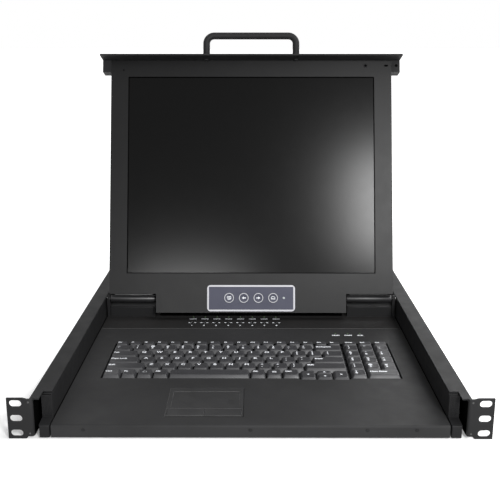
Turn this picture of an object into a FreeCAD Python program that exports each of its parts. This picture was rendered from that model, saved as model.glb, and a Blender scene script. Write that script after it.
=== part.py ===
"""Rackmount LCD console drawer, one rack unit high, drawn with its drawer in and its screen open.

Frame: origin at the centre of the rack hole pattern, on the back face of the two rack ears.
X runs to the right, Y to the rear of the rack, Z up.  All sizes are millimetres.
"""

import FreeCAD, Part

import os
import Sketcher

from types import SimpleNamespace

SIZES = {
    # rack ears
    "ear_overhang": 21.9, "ear_height": 43.65, "ear_sheet": 2.0, "ear_bend": 3.0, "ear_set": 2.5,
    "slot_margin": 8.75, "slot_rise": 15.875, "slot_length": 12.3, "slot_width": 7.1,
    "ear_step": 1.2, "ear_foot": 2.4, "ear_tab": 20.0, "ear_shoulder_run": 4.2,
    "ear_return": 14.0, "ear_joggle": 6.0, "ear_lap": 20.0, "ear_flange_gap": 0.2,
    # chassis channel
    "chassis_sheet": 1.5, "chassis_top": 42.5, "chassis_bottom": 1.2,
    "chassis_front": 0.5, "chassis_tail": 34.0, "floor_setback": 30.0, "flange_gap": 0.2,
    "notch_width": 9.0, "notch_depth": 17.2, "rear_slot_pitch": 40.0, "rear_slot_inset": 60.0,
    # ball slides
    "side_room": 9.5, "slide_rise": 31.0, "slide_sheet": 1.2, "slide_centre": 21.8,
    "slide_front": 46.0, "slide_lead": 6.0, "ear_pass": 3.6, "race_width": 7.2,
    "ball_radius": 1.5, "ball_play": 0.3, "cage_play": 0.1, "cage_strip": 0.6,
    "cage_width": 3.8, "cage_length": 160.0,
    "cage_balls": 3, "outer_cage_front": 280.0, "inner_cage_front": 320.0,
    # drawer tray
    "side_width": 8.2, "side_sheet": 1.2, "side_top": 40.4, "side_front": 18.0,
    "tray_sheet": 1.2, "tray_height": 3.2, "tray_tail": 2.0,
    "corner_height": 14.0, "corner_gap": 4.6, "corner_round": 1.5, "corner_slope": 1.6,
    "post_sheet": 1.4,
    "seam": 0.4,
    "deck_height": 14.5, "deck_sheet": 1.5, "deck_tail": 52.65, "deck_bend": 2.5,
    "deck_side_gap": 1.2, "deck_seam": 1.0, "control_tail": 20.5,
    # keyboard
    "key_pitch": 18.85, "row_pitch": 19.05, "row_count": 6, "main_units": 15.0, "pad_units": 3.0,
    "pad_gap": 2.0, "key_gap": 0.9, "key_top": 17.5, "key_foot": 12.2, "key_taper": 2.2,
    "key_back_taper": 0.9, "function_depth": 12.7, "keys_gap": 28.1, "stem_width": 4.0,
    "stem_drop": 2.6, "stem_play": 0.3, "board_height": 9.9,
    "board_margin": 4.0, "groove_depth": 4.6, "opening_margin": 0.7, "arrow_drop": 1.6,
    "arrow_reach": 3.4, "arrow_units": 3.0, "keys_shift": 0.8,
    # touchpad
    "pad_left": 87.6, "pad_width": 80.0, "pad_front": 17.5, "pad_depth": 68.8, "pad_proud": 0.6,
    "pad_foot": 8.0, "touch_margin": 4.2, "touch_front": 21.0, "touch_depth": 38.5,
    "touch_recess": 0.5, "button_depth": 16.4, "button_inset": 1.4, "button_play": 0.35,
    "button_foot": 11.0,
    # lid, measured from the hinge axis
    "hinge_height": 39.4, "lid_tilt": 17.55, "lid_side_gap": 6.3, "lid_face": 15.0, "lid_back": 3.8,
    "lid_sheet": 1.2, "lid_tail": 19.0, "lid_round": 2.0, "lid_border": 24.95,
    "lcd_width": 337.9, "lcd_height": 270.3,
    "lcd_drop": 35.5, "lcd_head": 26.2, "lcd_glass": 1.5, "lcd_border": 10.3, "lcd_depth": 9.8,
    "bezel_lap": 0.3, "cutout_inner": 129.8, "cutout_top": 6.5,
    # front panel and handle
    "block_width": 11.8, "panel_height": 42.5, "panel_sheet": 2.0, "panel_gap": 0.5,
    "block_length": 16.6, "block_round": 1.0,
    "handle_width": 133.0, "handle_reach": 36.0, "handle_radius": 4.7, "handle_bend": 10.6,
    # screen control panel
    "osd_width": 120.0, "osd_height": 36.0, "osd_margin": 1.7, "osd_round": 5.0, "osd_border": 2.6,
    "osd_frame_rise": 0.9, "osd_plate_rise": 0.4, "osd_button_radius": 6.6, "osd_button_pitch": 20.0,
    "osd_button_rise": 18.5, "osd_play": 0.3, "osd_led_x": 44.7,
    "osd_led_radius": 1.5, "osd_button_depth": 3.4,
    # hinges
    "barrel_radius": 4.7, "barrel_inset": 1.7, "barrel_end": 0.5, "pin_radius": 1.9, "pin_play": 0.05,
    "leaf_sheet": 2.0, "leaf_length": 24.0, "leaf_margin": 5.0, "leg_sheet": 3.6, "leg_gap": 0.7,
    "leg_round": 5.2, "pin_tail": 0.9, "block_front": 3.5, "block_top": 29.0,
    "hinge_block_depth": 24.0, "block_side_gap": 3.2, "hinge_block_round": 1.5,
    # console module at the rear of the drawer
    "case_sheet": 1.2, "case_gap": 3.0, "case_side_gap": 0.6, "case_top": 41.4, "case_depth": 254.5,
    "vent_length": 30.0, "vent_width": 3.0, "vent_pitch": 8.0, "vent_count": 10, "port_pitch": 33.0,
    "port_count": 8, "port_margin": 23.6, "port_width": 30.8, "port_height": 12.5, "port_level": 16.5,
    "port_reach": 6.0, "port_shell": 16.3, "port_shell_height": 7.9, "port_back": 12.0,
    "port_wall": 0.8, "inlet_margin": 30.0, "inlet_width": 27.0, "inlet_height": 19.8,
    "inlet_flange": 3.0, "inlet_plate": 1.5, "inlet_wall": 1.5, "inlet_depth": 16.0,
    "inlet_level": 22.0, "inlet_pin_spread": 7.0, "inlet_pin_rise": 2.0, "inlet_pin_width": 1.0,
    "switch_pitch": 34.0, "supply_shift": 25.0, "switch_width": 19.2, "switch_height": 12.9,
    "rocker_half": 6.4,
    "rocker_face": 4.5, "rocker_dip": 1.1, "rocker_pivot": 4.0, "rocker_play": 0.4,
    "rocker_hub": 1.6, "rocker_tilt": 8.0,
    "board_sheet": 1.6, "standoff": 5.0, "standoff_width": 5.0, "main_board_gap": 4.0,
    "main_board_depth": 130.0, "chip_width": 24.0, "chip_height": 2.5, "supply_width": 90.0,
    "supply_depth": 140.0, "supply_height": 30.0, "post_inset": 8.0, "vent_start": 60.0,
    "vent_inset": 30.0,
}


class Size:
    """A value together with the spreadsheet formula that it stands for."""

    def __init__(self, value, text):
        self.value = value
        self.text = text

    @staticmethod
    def of(item):
        return item if isinstance(item, Size) else Size(float(item), repr(float(item)))

    def combine(self, other, sign, value):
        return Size(value, f"({self.text} {sign} {other.text})")

    def __add__(self, other):
        other = Size.of(other)
        return self.combine(other, "+", self.value + other.value)

    def __radd__(self, other):
        return Size.of(other) + self

    def __sub__(self, other):
        other = Size.of(other)
        return self.combine(other, "-", self.value - other.value)

    def __rsub__(self, other):
        return Size.of(other) - self

    def __mul__(self, other):
        other = Size.of(other)
        return self.combine(other, "*", self.value * other.value)

    def __rmul__(self, other):
        return Size.of(other) * self

    def __truediv__(self, other):
        other = Size.of(other)
        return self.combine(other, "/", self.value / other.value)

    def __neg__(self):
        return Size(-self.value, f"(-1 * {self.text})")


doc = FreeCAD.newDocument("ConsoleDrawer")
nodes = []


def make_sheet():
    """Write every driving size into the spreadsheet and return them by name."""
    sheet = doc.addObject("Spreadsheet::Sheet", "Sizes")
    for row, (name, number) in enumerate(SIZES.items(), start=1):
        sheet.set(f"A{row}", name)
        sheet.set(f"B{row}", str(number))
        sheet.setAlias(f"B{row}", name)
    doc.recompute()
    return SimpleNamespace(**{name: Size(float(number), f"Sizes.{name}")
                              for name, number in SIZES.items()})


S = make_sheet()


# ---------------------------------------------------------------- shared places

def above(height):
    """Z of a height measured from the lower edge of the rack ears."""
    return height - S.ear_height / 2


# Across the width, from the screen outwards: lid, side beam, ball slide, chassis wall, ear.
LID_HALF = S.lcd_width / 2 + S.lid_border
SIDE_IN = LID_HALF + S.lid_side_gap
SIDE_OUT = SIDE_IN + S.side_width
WALL = SIDE_OUT + S.side_room
CHASSIS_HALF = WALL + S.chassis_sheet
EAR_INNER = WALL - S.ear_set
EAR_TIP = CHASSIS_HALF + S.ear_overhang
PANEL_HALF = LID_HALF + S.block_width
DECK_HALF = SIDE_IN - S.deck_side_gap
CASE_HALF = SIDE_IN - S.case_side_gap

# Along the depth, from the ears backwards.
EAR_FRONT = -S.ear_sheet
KEYS_FRONT = S.pad_front + S.pad_depth + S.keys_gap
KEYS_REAR = KEYS_FRONT + (S.row_count - 1) * S.row_pitch + S.function_depth
DECK_REAR = KEYS_REAR + S.deck_tail
LID_LENGTH = S.lcd_drop + S.lcd_height + S.lcd_head
HINGE_Y = LID_LENGTH + EAR_FRONT - S.panel_gap - S.panel_sheet
HINGE_Z = above(S.hinge_height)
CASE_FRONT = HINGE_Y + S.lid_tail + S.case_gap
CASE_REAR = CASE_FRONT + S.case_depth
TRAY_REAR = CASE_REAR + S.tray_tail
CHASSIS_REAR = TRAY_REAR + S.chassis_tail
SLIDE_LENGTH = TRAY_REAR - S.slide_front
SLIDE_DEPTH = WALL - SIDE_IN - S.side_sheet

# Heights of the drawer's sheets.
TRAY_TOP = above(S.tray_height + S.tray_sheet)
DECK_TOP = above(S.deck_height)
DECK_UNDER = DECK_TOP - S.deck_sheet


# ---------------------------------------------------------------- building tools

def bind(thing, prop, size):
    thing.setExpression(prop, Size.of(size).text)


def place(thing, x=0, y=0, z=0):
    for axis, size in zip("xyz", (x, y, z)):
        bind(thing, f"Placement.Base.{axis}", size)


def side_span(side, inner, outer):
    """X range between two distances from the middle, on the side -1 or +1."""
    inner = Size.of(inner)
    outer = Size.of(outer)
    return (inner, outer) if side > 0 else (-outer, -inner)


def around(centre, width):
    """Range of the given width about a centre."""
    return centre - width / 2, centre + width / 2


def block(x, y, z, name="Block"):
    box = doc.addObject("Part::Box", name)
    for prop, (low, high) in zip(("Length", "Width", "Height"), (x, y, z)):
        bind(box, prop, Size.of(high) - low)
    place(box, x[0], y[0], z[0])
    return box


TURNS = {"z": FreeCAD.Rotation(), "x": FreeCAD.Rotation(FreeCAD.Vector(0, 1, 0), 90),
         "y": FreeCAD.Rotation(FreeCAD.Vector(1, 0, 0), -90)}


def rod(axis, radius, start, length, name="Rod"):
    """Cylinder from the point start, along +axis."""
    cylinder = doc.addObject("Part::Cylinder", name)
    cylinder.Placement = FreeCAD.Placement(FreeCAD.Vector(), TURNS[axis])
    bind(cylinder, "Radius", radius)
    bind(cylinder, "Height", length)
    place(cylinder, *start)
    return cylinder


def ball(radius, centre):
    """Bearing ball with few faces: what three crossed octagonal bars have in common."""
    bars = []
    for axis, turn in TURNS.items():
        bar = doc.addObject("Part::Prism", "BallBar")
        bar.Polygon = 8
        bar.Placement = FreeCAD.Placement(FreeCAD.Vector(), turn)
        bind(bar, "Circumradius", radius)
        bind(bar, "Height", 2 * Size.of(radius))
        start = [middle - radius if name == axis else middle for name, middle in zip("xyz", centre)]
        place(bar, *start)
        bars.append(bar)
    common = doc.addObject("Part::MultiCommon", "Ball")
    common.Shapes = bars
    return common


def slot_tool(x, z, length, width, y):
    """Round-ended slot cutter, long in X, that runs through Y."""
    half = (length - width) / 2
    pieces = [block((x - half, x + half), y, (z - width / 2, z + width / 2), "SlotWaist")]
    for centre in (x - half, x + half):
        pieces.append(rod("y", width / 2, (centre, y[0], z), y[1] - y[0], "SlotEnd"))
    return join("Slot", pieces)


def join(name, pieces):
    fuse = doc.addObject("Part::MultiFuse", name)
    fuse.Shapes = pieces
    fuse.Refine = True
    return fuse


def group(name, pieces):
    compound = doc.addObject("Part::Compound", name)
    compound.Links = pieces
    return compound


def cut(name, base, tools):
    result = doc.addObject("Part::Cut", name)
    result.Base = base
    result.Tool = tools[0] if len(tools) == 1 else group(name + "Tools", tools)
    return result


def node(label, thing):
    """Register a finished sub-part under the name of its file."""
    thing.Label = label
    nodes.append(thing)
    return thing


def lid_node(label, thing):
    """Register a sub-part drawn from the hinge axis, and stand it on the hinge at its tilt."""
    thing.Placement = FreeCAD.Placement(FreeCAD.Vector(0, 1, 1), FreeCAD.Rotation(
        FreeCAD.Vector(-1, 0, 0), S.lid_tilt.value))
    place(thing, 0, HINGE_Y, HINGE_Z)
    bind(thing, "Placement.Rotation.Angle", S.lid_tilt)
    return node(label, thing)


# Sketch planes: role of the origin plane, and how a sketch offset relates to the world axis.
PLANES = {"XY": ("XY_Plane", 1), "XZ": ("XZ_Plane", -1), "YZ": ("YZ_Plane", 1)}


def sketch_on(body, plane, level):
    role, direction = PLANES[plane]
    sketch = body.newObject("Sketcher::SketchObject", "Sketch")
    support = next(item for item in body.Origin.OriginFeatures if item.Role == role)
    sketch.AttachmentSupport = [(support, "")]
    sketch.MapMode = "FlatFace"
    bind(sketch, "AttachmentOffset.Base.z", Size.of(level) * direction)
    return sketch


def fix_point(sketch, geometry, point, x, y):
    for kind, size in (("DistanceX", x), ("DistanceY", y)):
        size = Size.of(size)
        index = sketch.addConstraint(Sketcher.Constraint(kind, -1, 1, geometry, point, size.value))
        bind(sketch, f"Constraints[{index}]", size)


def outline(sketch, points):
    """Closed polygon whose every corner is held by two formulas."""
    corners = [(Size.of(x), Size.of(y)) for x, y in points]
    first = sketch.GeometryCount
    count = len(corners)
    for index, (x, y) in enumerate(corners):
        after_x, after_y = corners[(index + 1) % count]
        start = FreeCAD.Vector(x.value, y.value, 0)
        end = FreeCAD.Vector(after_x.value, after_y.value, 0)
        sketch.addGeometry(Part.LineSegment(start, end))
    for index in range(count):
        after = first + (index + 1) % count
        sketch.addConstraint(Sketcher.Constraint("Coincident", first + index, 2, after, 1))
    for index, (x, y) in enumerate(corners):
        fix_point(sketch, first + index, 1, x, y)


def rectangle(x, y):
    return [(x[0], y[0]), (x[1], y[0]), (x[1], y[1]), (x[0], y[1])]


def circle(sketch, x, y, radius):
    x, y, radius = Size.of(x), Size.of(y), Size.of(radius)
    centre = FreeCAD.Vector(x.value, y.value, 0)
    index = sketch.addGeometry(Part.Circle(centre, FreeCAD.Vector(0, 0, 1), radius.value))
    fix_point(sketch, index, 3, x, y)
    held = sketch.addConstraint(Sketcher.Constraint("Radius", index, radius.value))
    bind(sketch, f"Constraints[{held}]", radius)


def new_body(name):
    return doc.addObject("PartDesign::Body", name)


def pad(body, plane, points, low, high):
    """Add a prism between two levels across the plane."""
    bottom = high if plane == "XZ" else low
    sketch = sketch_on(body, plane, bottom)
    outline(sketch, points)
    feature = body.newObject("PartDesign::Pad", "Pad")
    feature.Profile = sketch
    bind(feature, "Length", Size.of(high) - low)
    return feature


def pocket(body, plane, shapes, low, high):
    """Remove prisms between two levels; each shape is a polygon or a circle (x, y, radius)."""
    top = low if plane == "XZ" else high
    sketch = sketch_on(body, plane, top)
    for shape in shapes:
        if len(shape) == 3 and not isinstance(shape[0], tuple):
            circle(sketch, *shape)
        else:
            outline(sketch, shape)
    feature = body.newObject("PartDesign::Pocket", "Pocket")
    feature.Profile = sketch
    bind(feature, "Length", Size.of(high) - low)
    return feature


def round_edges(body, radius, chosen):
    """Fillet the edges of the body's last feature for which chosen(edge) is true."""
    doc.recompute()
    base = body.Tip
    names = [f"Edge{number}" for number, edge in enumerate(base.Shape.Edges, start=1) if chosen(edge)]
    if not names:
        raise RuntimeError(f"{body.Name}: no edge to round")
    feature = body.newObject("PartDesign::Fillet", "Round")
    feature.Base = (base, names)
    bind(feature, "Radius", radius)
    return feature


def runs_along(edge, axis):
    """True for a straight edge parallel to the axis."""
    if len(edge.Vertexes) != 2 or not isinstance(edge.Curve, Part.Line):
        return False
    step = edge.Vertexes[1].Point - edge.Vertexes[0].Point
    return abs(abs(getattr(step.normalize(), axis)) - 1) < 1e-6


def near(value, size):
    return abs(value - Size.of(size).value) < 1e-4


# ---------------------------------------------------------------- chassis

def chassis_channel():
    """Folded steel channel: floor, two walls and the inward flanges over the slides."""
    half, inner_half, lip = CHASSIS_HALF, WALL, SIDE_IN + S.flange_gap
    low, top = above(S.chassis_bottom), above(S.chassis_top)
    body = new_body("ChassisChannel")
    right = [(half, low), (half, top), (lip, top), (lip, top - S.chassis_sheet),
             (inner_half, top - S.chassis_sheet), (inner_half, low + S.chassis_sheet)]
    left = [(-x, z) for x, z in reversed(right)]
    pad(body, "XZ", right + left, S.chassis_front, CHASSIS_REAR)
    round_edges(body, S.chassis_sheet,
                lambda edge: runs_along(edge, "y") and near(abs(edge.CenterOfMass.x), half))
    doc.recompute()
    notch = [side_span(side, lip - 1, lip + S.notch_width) for side in (-1, 1)]
    floor_front = EAR_FRONT + S.side_front + S.floor_setback
    notches = [rectangle(x, (S.chassis_front - 1, S.chassis_front + S.notch_depth)) for x in notch]
    pocket(body, "XY", notches, top - 2 * S.chassis_sheet, top)
    pocket(body, "XY", [rectangle((-inner_half, inner_half), (S.chassis_front - 1, floor_front))],
           low, low + S.chassis_sheet)
    holes = []
    for step in (0, 1):
        y = CHASSIS_REAR - S.rear_slot_inset - step * S.rear_slot_pitch
        holes.append((y, 0, S.slot_width / 2))
    pocket(body, "YZ", holes, -half, half)
    node("chassis_channel", body)


def rack_ear(side, label):
    """Folded ear: slotted tab, rounded bend, and a joggled leg inside the chassis wall."""
    tip, inner, sheet = EAR_TIP, EAR_INNER, S.ear_sheet
    body = new_body("RackEar")
    lap_start = S.ear_return + S.ear_joggle
    lap_end = lap_start + S.ear_lap
    plan = [(tip, -sheet), (tip, 0), (inner + sheet, 0), (inner + sheet, S.ear_return),
            (WALL, lap_start), (WALL, lap_end), (WALL - sheet, lap_end),
            (WALL - sheet, lap_start + sheet / 3), (inner, S.ear_return + sheet / 3), (inner, -sheet)]
    plan = [(side * x, y) for x, y in plan]
    pad(body, "XY", plan, -S.ear_height / 2, S.ear_height / 2)
    round_edges(body, S.ear_bend, lambda edge: runs_along(edge, "z") and near(
        abs(edge.CenterOfMass.x), inner) and near(edge.CenterOfMass.y, -sheet))
    shoulder, slope = EAR_TIP - S.ear_tab, S.ear_shoulder_run
    top, low = S.ear_height / 2, -S.ear_height / 2
    upper = [(inner - 1, top + 1), (inner - 1, top - S.ear_step), (shoulder, top - S.ear_step),
             (shoulder + slope, top), (shoulder + slope, top + 1)]
    lower = [(inner - 1, low - 1), (inner - 1, low + S.ear_foot), (shoulder, low + S.ear_foot),
             (shoulder + slope / 2, low), (shoulder + slope / 2, low - 1)]
    trims = [[(side * x, z) for x, z in shape] for shape in (upper, lower)]
    pocket(body, "XZ", trims, -sheet - 1, lap_end + 1)
    under_flange = above(S.chassis_top) - S.chassis_sheet - S.ear_flange_gap
    relief = rectangle(side_span(side, inner - 1, WALL + 1), (under_flange, top + 1))
    pocket(body, "XZ", [relief], S.ear_flange_gap, lap_end + 1)
    doc.recompute()
    slots = [slot_tool(side * (EAR_TIP - S.slot_margin), step * S.slot_rise, S.slot_length, S.slot_width,
                       (-2 * sheet, sheet)) for step in (-1, 0, 1)]
    node(label, cut("RackEarCut", body, slots))


# ---------------------------------------------------------------- ball slides

def slide_member(side, webs, flange_end, half_rise, y, label):
    """C-profile slide member; webs and flange_end are depths measured from the chassis wall."""
    web, hollow = webs
    inside = half_rise - S.slide_sheet
    shape = [(web, half_rise), (flange_end, half_rise), (flange_end, inside), (hollow, inside)]
    shape += [(depth, -rise) for depth, rise in reversed(shape)]
    centre = above(S.slide_centre)
    body = new_body("SlideMember")
    pad(body, "XZ", [(side * (WALL - depth), centre + rise) for depth, rise in shape], *y)
    round_edges(body, 0.8 * S.slide_sheet, lambda edge: runs_along(edge, "y") and near(
        abs(edge.CenterOfMass.x), WALL - web) and near(
            abs(edge.CenterOfMass.z - centre.value), half_rise))
    node(label, body)


def ball_cage(front, height, depth):
    """Two retainer strips on each side, above and below centre, with their bearing balls."""
    pieces = []
    for side in (-1, 1):
        for rise in (-1, 1):
            x = side * (WALL - depth)
            z = above(S.slide_centre) + rise * height
            strip = block(around(x, S.cage_width), (front, front + S.cage_length),
                          around(z, S.cage_strip), "CageStrip")
            pitch = S.cage_length / S.cage_balls
            window = 2 * (S.ball_radius + S.cage_play)
            windows = []
            for index in range(SIZES["cage_balls"]):
                y = front + pitch * (index + 0.5)
                windows.append(block(around(x, window), around(y, window), around(z, 2 * S.cage_strip),
                                     "CageWindow"))
                pieces.append(ball(S.ball_radius, (x, y, z)))
            pieces.append(cut("Cage", strip, windows))
    return pieces


def slides():
    """Outer, middle and inner members with their two sets of ball cages."""
    sheet, race = S.slide_sheet, 2 * (S.ball_radius + S.ball_play)
    outer_half = S.slide_rise / 2
    middle_half = outer_half - sheet - race
    inner_half = middle_half - sheet - race
    middle_web = S.ear_set + S.ear_pass
    ball_depth = (middle_web + SLIDE_DEPTH) / 2
    near_end, far_end = ball_depth - S.race_width / 2, ball_depth + S.race_width / 2
    front, length, lead = S.slide_front, SLIDE_LENGTH, S.slide_lead
    for side, name in ((-1, "left"), (1, "right")):
        slide_member(side, (Size.of(0), sheet), far_end, outer_half,
                     (front, front + length), f"slide_outer_{name}")
        slide_member(side, (middle_web, middle_web + sheet), far_end, middle_half,
                     (front - lead, front + length - 2 * lead), f"slide_middle_{name}")
        slide_member(side, (SLIDE_DEPTH, SLIDE_DEPTH - sheet), near_end, inner_half,
                     (front - 2 * lead, front + length - 3 * lead), f"slide_inner_{name}")
    outer = ball_cage(S.outer_cage_front, middle_half + race / 2, ball_depth)
    inner = ball_cage(S.inner_cage_front, inner_half + race / 2, ball_depth)
    node("outer_ball_cages", group("OuterCages", outer))
    node("inner_ball_cages", group("InnerCages", inner))


# ---------------------------------------------------------------- drawer tray

def tray_floor():
    """Sheet under the whole drawer, cut back at the front corners for the corner blocks."""
    front = EAR_FRONT + S.deck_sheet
    post = EAR_FRONT + S.side_front
    shape = [(-SIDE_IN, front), (SIDE_IN, front), (SIDE_IN, post), (SIDE_OUT, post),
             (SIDE_OUT, TRAY_REAR), (-SIDE_OUT, TRAY_REAR), (-SIDE_OUT, post), (-SIDE_IN, post)]
    body = new_body("TrayFloor")
    pad(body, "XY", shape, above(S.tray_height), TRAY_TOP)
    node("tray_floor", body)


def tray_side(side, label):
    """Side channel, open outwards over the inner slide member and closed at its front."""
    wall = S.side_sheet
    front = EAR_FRONT + S.side_front
    top = above(S.side_top)
    body = new_body("TraySide")
    pad(body, "YZ", rectangle((front, TRAY_REAR), (TRAY_TOP, top)), *side_span(side, SIDE_IN, SIDE_OUT))
    round_edges(body, S.side_sheet, lambda edge: runs_along(edge, "x") and near(
        edge.CenterOfMass.y, front) and near(edge.CenterOfMass.z, top))
    doc.recompute()
    hollow = rectangle(side_span(side, SIDE_IN + wall, SIDE_OUT + 1), (TRAY_TOP + wall, top - wall))
    pocket(body, "XZ", [hollow], front + wall, TRAY_REAR + 1)
    node(label, body)


def tray_corner(side, label):
    """Moulded corner piece: a block at the drawer front and the post before the side beam."""
    inner = SIDE_IN + S.seam / 2
    front, back = EAR_FRONT, EAR_FRONT + S.side_front
    face = back - S.post_sheet
    low, ledge, top = above(S.chassis_bottom), above(S.corner_height), above(S.side_top)
    body = new_body("TrayCorner")
    profile = [(front, low), (back, low), (back, top), (face, top - S.post_sheet),
               (face, ledge + S.corner_slope), (front, ledge)]
    pad(body, "YZ", profile, *side_span(side, inner, EAR_INNER - S.corner_gap))
    round_edges(body, S.corner_round, lambda edge: near(edge.CenterOfMass.y, front) and not near(
        edge.CenterOfMass.z, low))
    node(label, body)


def keyboard_deck():
    """Top plate around keyboard and touchpad, folded down at the front and at the rear."""
    sheet = S.deck_sheet
    front = EAR_FRONT
    low = above(S.chassis_bottom)
    body = new_body("KeyboardDeck")
    profile = [(front, low), (front + sheet, low), (front + sheet, DECK_UNDER),
               (DECK_REAR - sheet, DECK_UNDER), (DECK_REAR - sheet, TRAY_TOP),
               (DECK_REAR, TRAY_TOP), (DECK_REAR, DECK_TOP), (front, DECK_TOP)]
    pad(body, "YZ", profile, -DECK_HALF, DECK_HALF)
    round_edges(body, S.deck_bend, lambda edge: runs_along(edge, "x") and near(
        edge.CenterOfMass.y, front) and near(edge.CenterOfMass.z, DECK_TOP))
    doc.recompute()
    margin = S.opening_margin
    left, right = KEYS_LEFT - margin, KEYS_LEFT + KEYS_WIDTH + margin
    front, rear = KEYS_FRONT - margin, KEYS_REAR + margin
    arrows = (MAIN_END - S.arrow_units * S.key_pitch - margin, MAIN_END + margin)
    keys = [(left, front), (arrows[0], front), (arrows[0], front - S.arrow_reach),
            (arrows[1], front - S.arrow_reach), (arrows[1], front), (right, front), (right, rear),
            (left, rear)]
    touch = rectangle((-S.pad_left, -S.pad_left + S.pad_width),
                      (S.pad_front, S.pad_front + S.pad_depth))
    pocket(body, "XY", [keys, touch], DECK_UNDER - 1, DECK_TOP)
    node("keyboard_deck", body)


def control_deck():
    """Plate with the port numbers, between the keyboard deck and the console module."""
    sheet = S.deck_sheet
    front, rear = DECK_REAR + S.deck_seam, HINGE_Y + S.control_tail
    body = new_body("ControlDeck")
    profile = [(front, TRAY_TOP), (front + sheet, TRAY_TOP), (front + sheet, DECK_UNDER),
               (rear - sheet, DECK_UNDER), (rear - sheet, TRAY_TOP), (rear, TRAY_TOP),
               (rear, DECK_TOP), (front, DECK_TOP)]
    pad(body, "YZ", profile, -DECK_HALF, DECK_HALF)
    node("control_deck", body)


# ---------------------------------------------------------------- keyboard

KEYS_WIDTH = (S.main_units + S.pad_units) * S.key_pitch + S.pad_gap
KEYS_LEFT = S.keys_shift - KEYS_WIDTH / 2
MAIN_END = KEYS_LEFT + S.main_units * S.key_pitch
PAD_START = MAIN_END + S.pad_gap

# Key widths of the main block in key units, front row first; the space bar stands alone.
ROWS = {
    "bottom_row_keys": [1.13, 0.94, 0.98, 0.98, None, 0.97, 0.98, 1.07, 1, (0.5, 0.5), 1],
    "shift_row_keys": [2.45] + 10 * [0.99] + [2.65],
    "home_row_keys": [2] + 11 * [0.99] + [2.11],
    "tab_row_keys": [1.75] + 12 * [0.99] + [1.37],
    "number_row_keys": [1.24] + 12 * [0.99] + [1.88],
    "function_row_keys": 17 * [15 / 17],
}
SPACE_UNITS = 4.95


def key(x, y, lowered=0):
    """One keycap with sloping sides."""
    gap = S.key_gap / 2
    x_low, x_high = Size.of(x[0]) + gap, Size.of(x[1]) - gap
    y_low, y_high = Size.of(y[0]) + gap, Size.of(y[1]) - gap
    foot, top = above(S.key_foot), above(S.key_top) - lowered
    cap = doc.addObject("Part::Wedge", "Keycap")
    cap.Placement = FreeCAD.Placement(FreeCAD.Vector(), FreeCAD.Rotation(FreeCAD.Vector(1, 0, 0), 90))
    place(cap, x_low, y_low, foot)
    taper, back = S.key_taper, S.key_back_taper
    limits = {"Xmin": 0, "Xmax": x_high - x_low, "Ymin": 0, "Ymax": top - foot,
              "Zmin": y_low - y_high, "Zmax": 0, "X2min": taper, "X2max": x_high - x_low - taper,
              "Z2min": y_low - y_high + back, "Z2max": -taper}
    for prop, size in limits.items():
        bind(cap, prop, size)
    return cap


def stem_strip(left, right, y):
    """The stems under a run of keys as one strip, which runs in the key board's groove."""
    foot = above(S.key_foot)
    return block((left + S.key_gap, right - S.key_gap), around((y[0] + y[1]) / 2, S.stem_width),
                 (foot - S.stem_drop, foot), "StemStrip")


def row_span(row):
    front = KEYS_FRONT + row * S.row_pitch
    depth = S.function_depth if row == len(ROWS) - 1 else S.row_pitch
    return front, front + depth


def keyboard():
    """Key board with its grooves, one node of keys per row, the space bar and the number pad."""
    for row, (label, widths) in enumerate(ROWS.items()):
        y = row_span(row)
        left = KEYS_LEFT
        keys, run_start = [], left
        for width in widths:
            if width is None:
                right = left + SPACE_UNITS * S.key_pitch
                space = [key((left, right), y), stem_strip(left, right, y)]
                node("space_bar", group("SpaceBar", space))
                keys.append(stem_strip(run_start, left, y))
                run_start = right
            elif isinstance(width, tuple):
                right = left + S.key_pitch
                middle = (y[0] + y[1]) / 2
                keys += [key((left, right), (y[0] - S.arrow_reach, middle), S.arrow_drop),
                         key((left, right), (middle, y[1]), S.arrow_drop)]
            else:
                right = left + width * S.key_pitch
                if row == 0 and width == 1:
                    keys.append(key((left, right), (y[0] - S.arrow_reach, y[1]), S.arrow_drop))
                else:
                    keys.append(key((left, right), y))
            left = right
        keys.append(stem_strip(run_start, left, y))
        node(label, group("KeyRow", keys))
    pad_keys = []
    for row in range(len(ROWS)):
        for start, width in ((0, 1), (1, 2)) if row == 0 else ((0, 1), (1, 1), (2, 1)):
            left = PAD_START + start * S.key_pitch
            pad_keys.append(key((left, left + width * S.key_pitch), row_span(row)))
        pad_keys.append(stem_strip(PAD_START, PAD_START + S.pad_units * S.key_pitch, row_span(row)))
    node("number_pad_keys", group("NumberPad", pad_keys))
    key_board()


def key_board():
    """Keyboard base: a plate with one groove per row, where the key stems travel."""
    margin, top = S.board_margin, above(S.board_height)
    base = block((KEYS_LEFT - margin, KEYS_LEFT + KEYS_WIDTH + margin),
                 (KEYS_FRONT - margin, KEYS_REAR + margin), (TRAY_TOP, top), "BoardPlate")
    grooves = []
    for row in range(len(ROWS)):
        front, rear = row_span(row)
        groove = around((front + rear) / 2, S.stem_width + 2 * S.stem_play)
        grooves.append(block((KEYS_LEFT, KEYS_LEFT + KEYS_WIDTH), groove,
                             (top - S.groove_depth, top + 1), "Groove"))
    node("key_board", cut("KeyBoard", base, grooves))


# ---------------------------------------------------------------- touchpad

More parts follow.
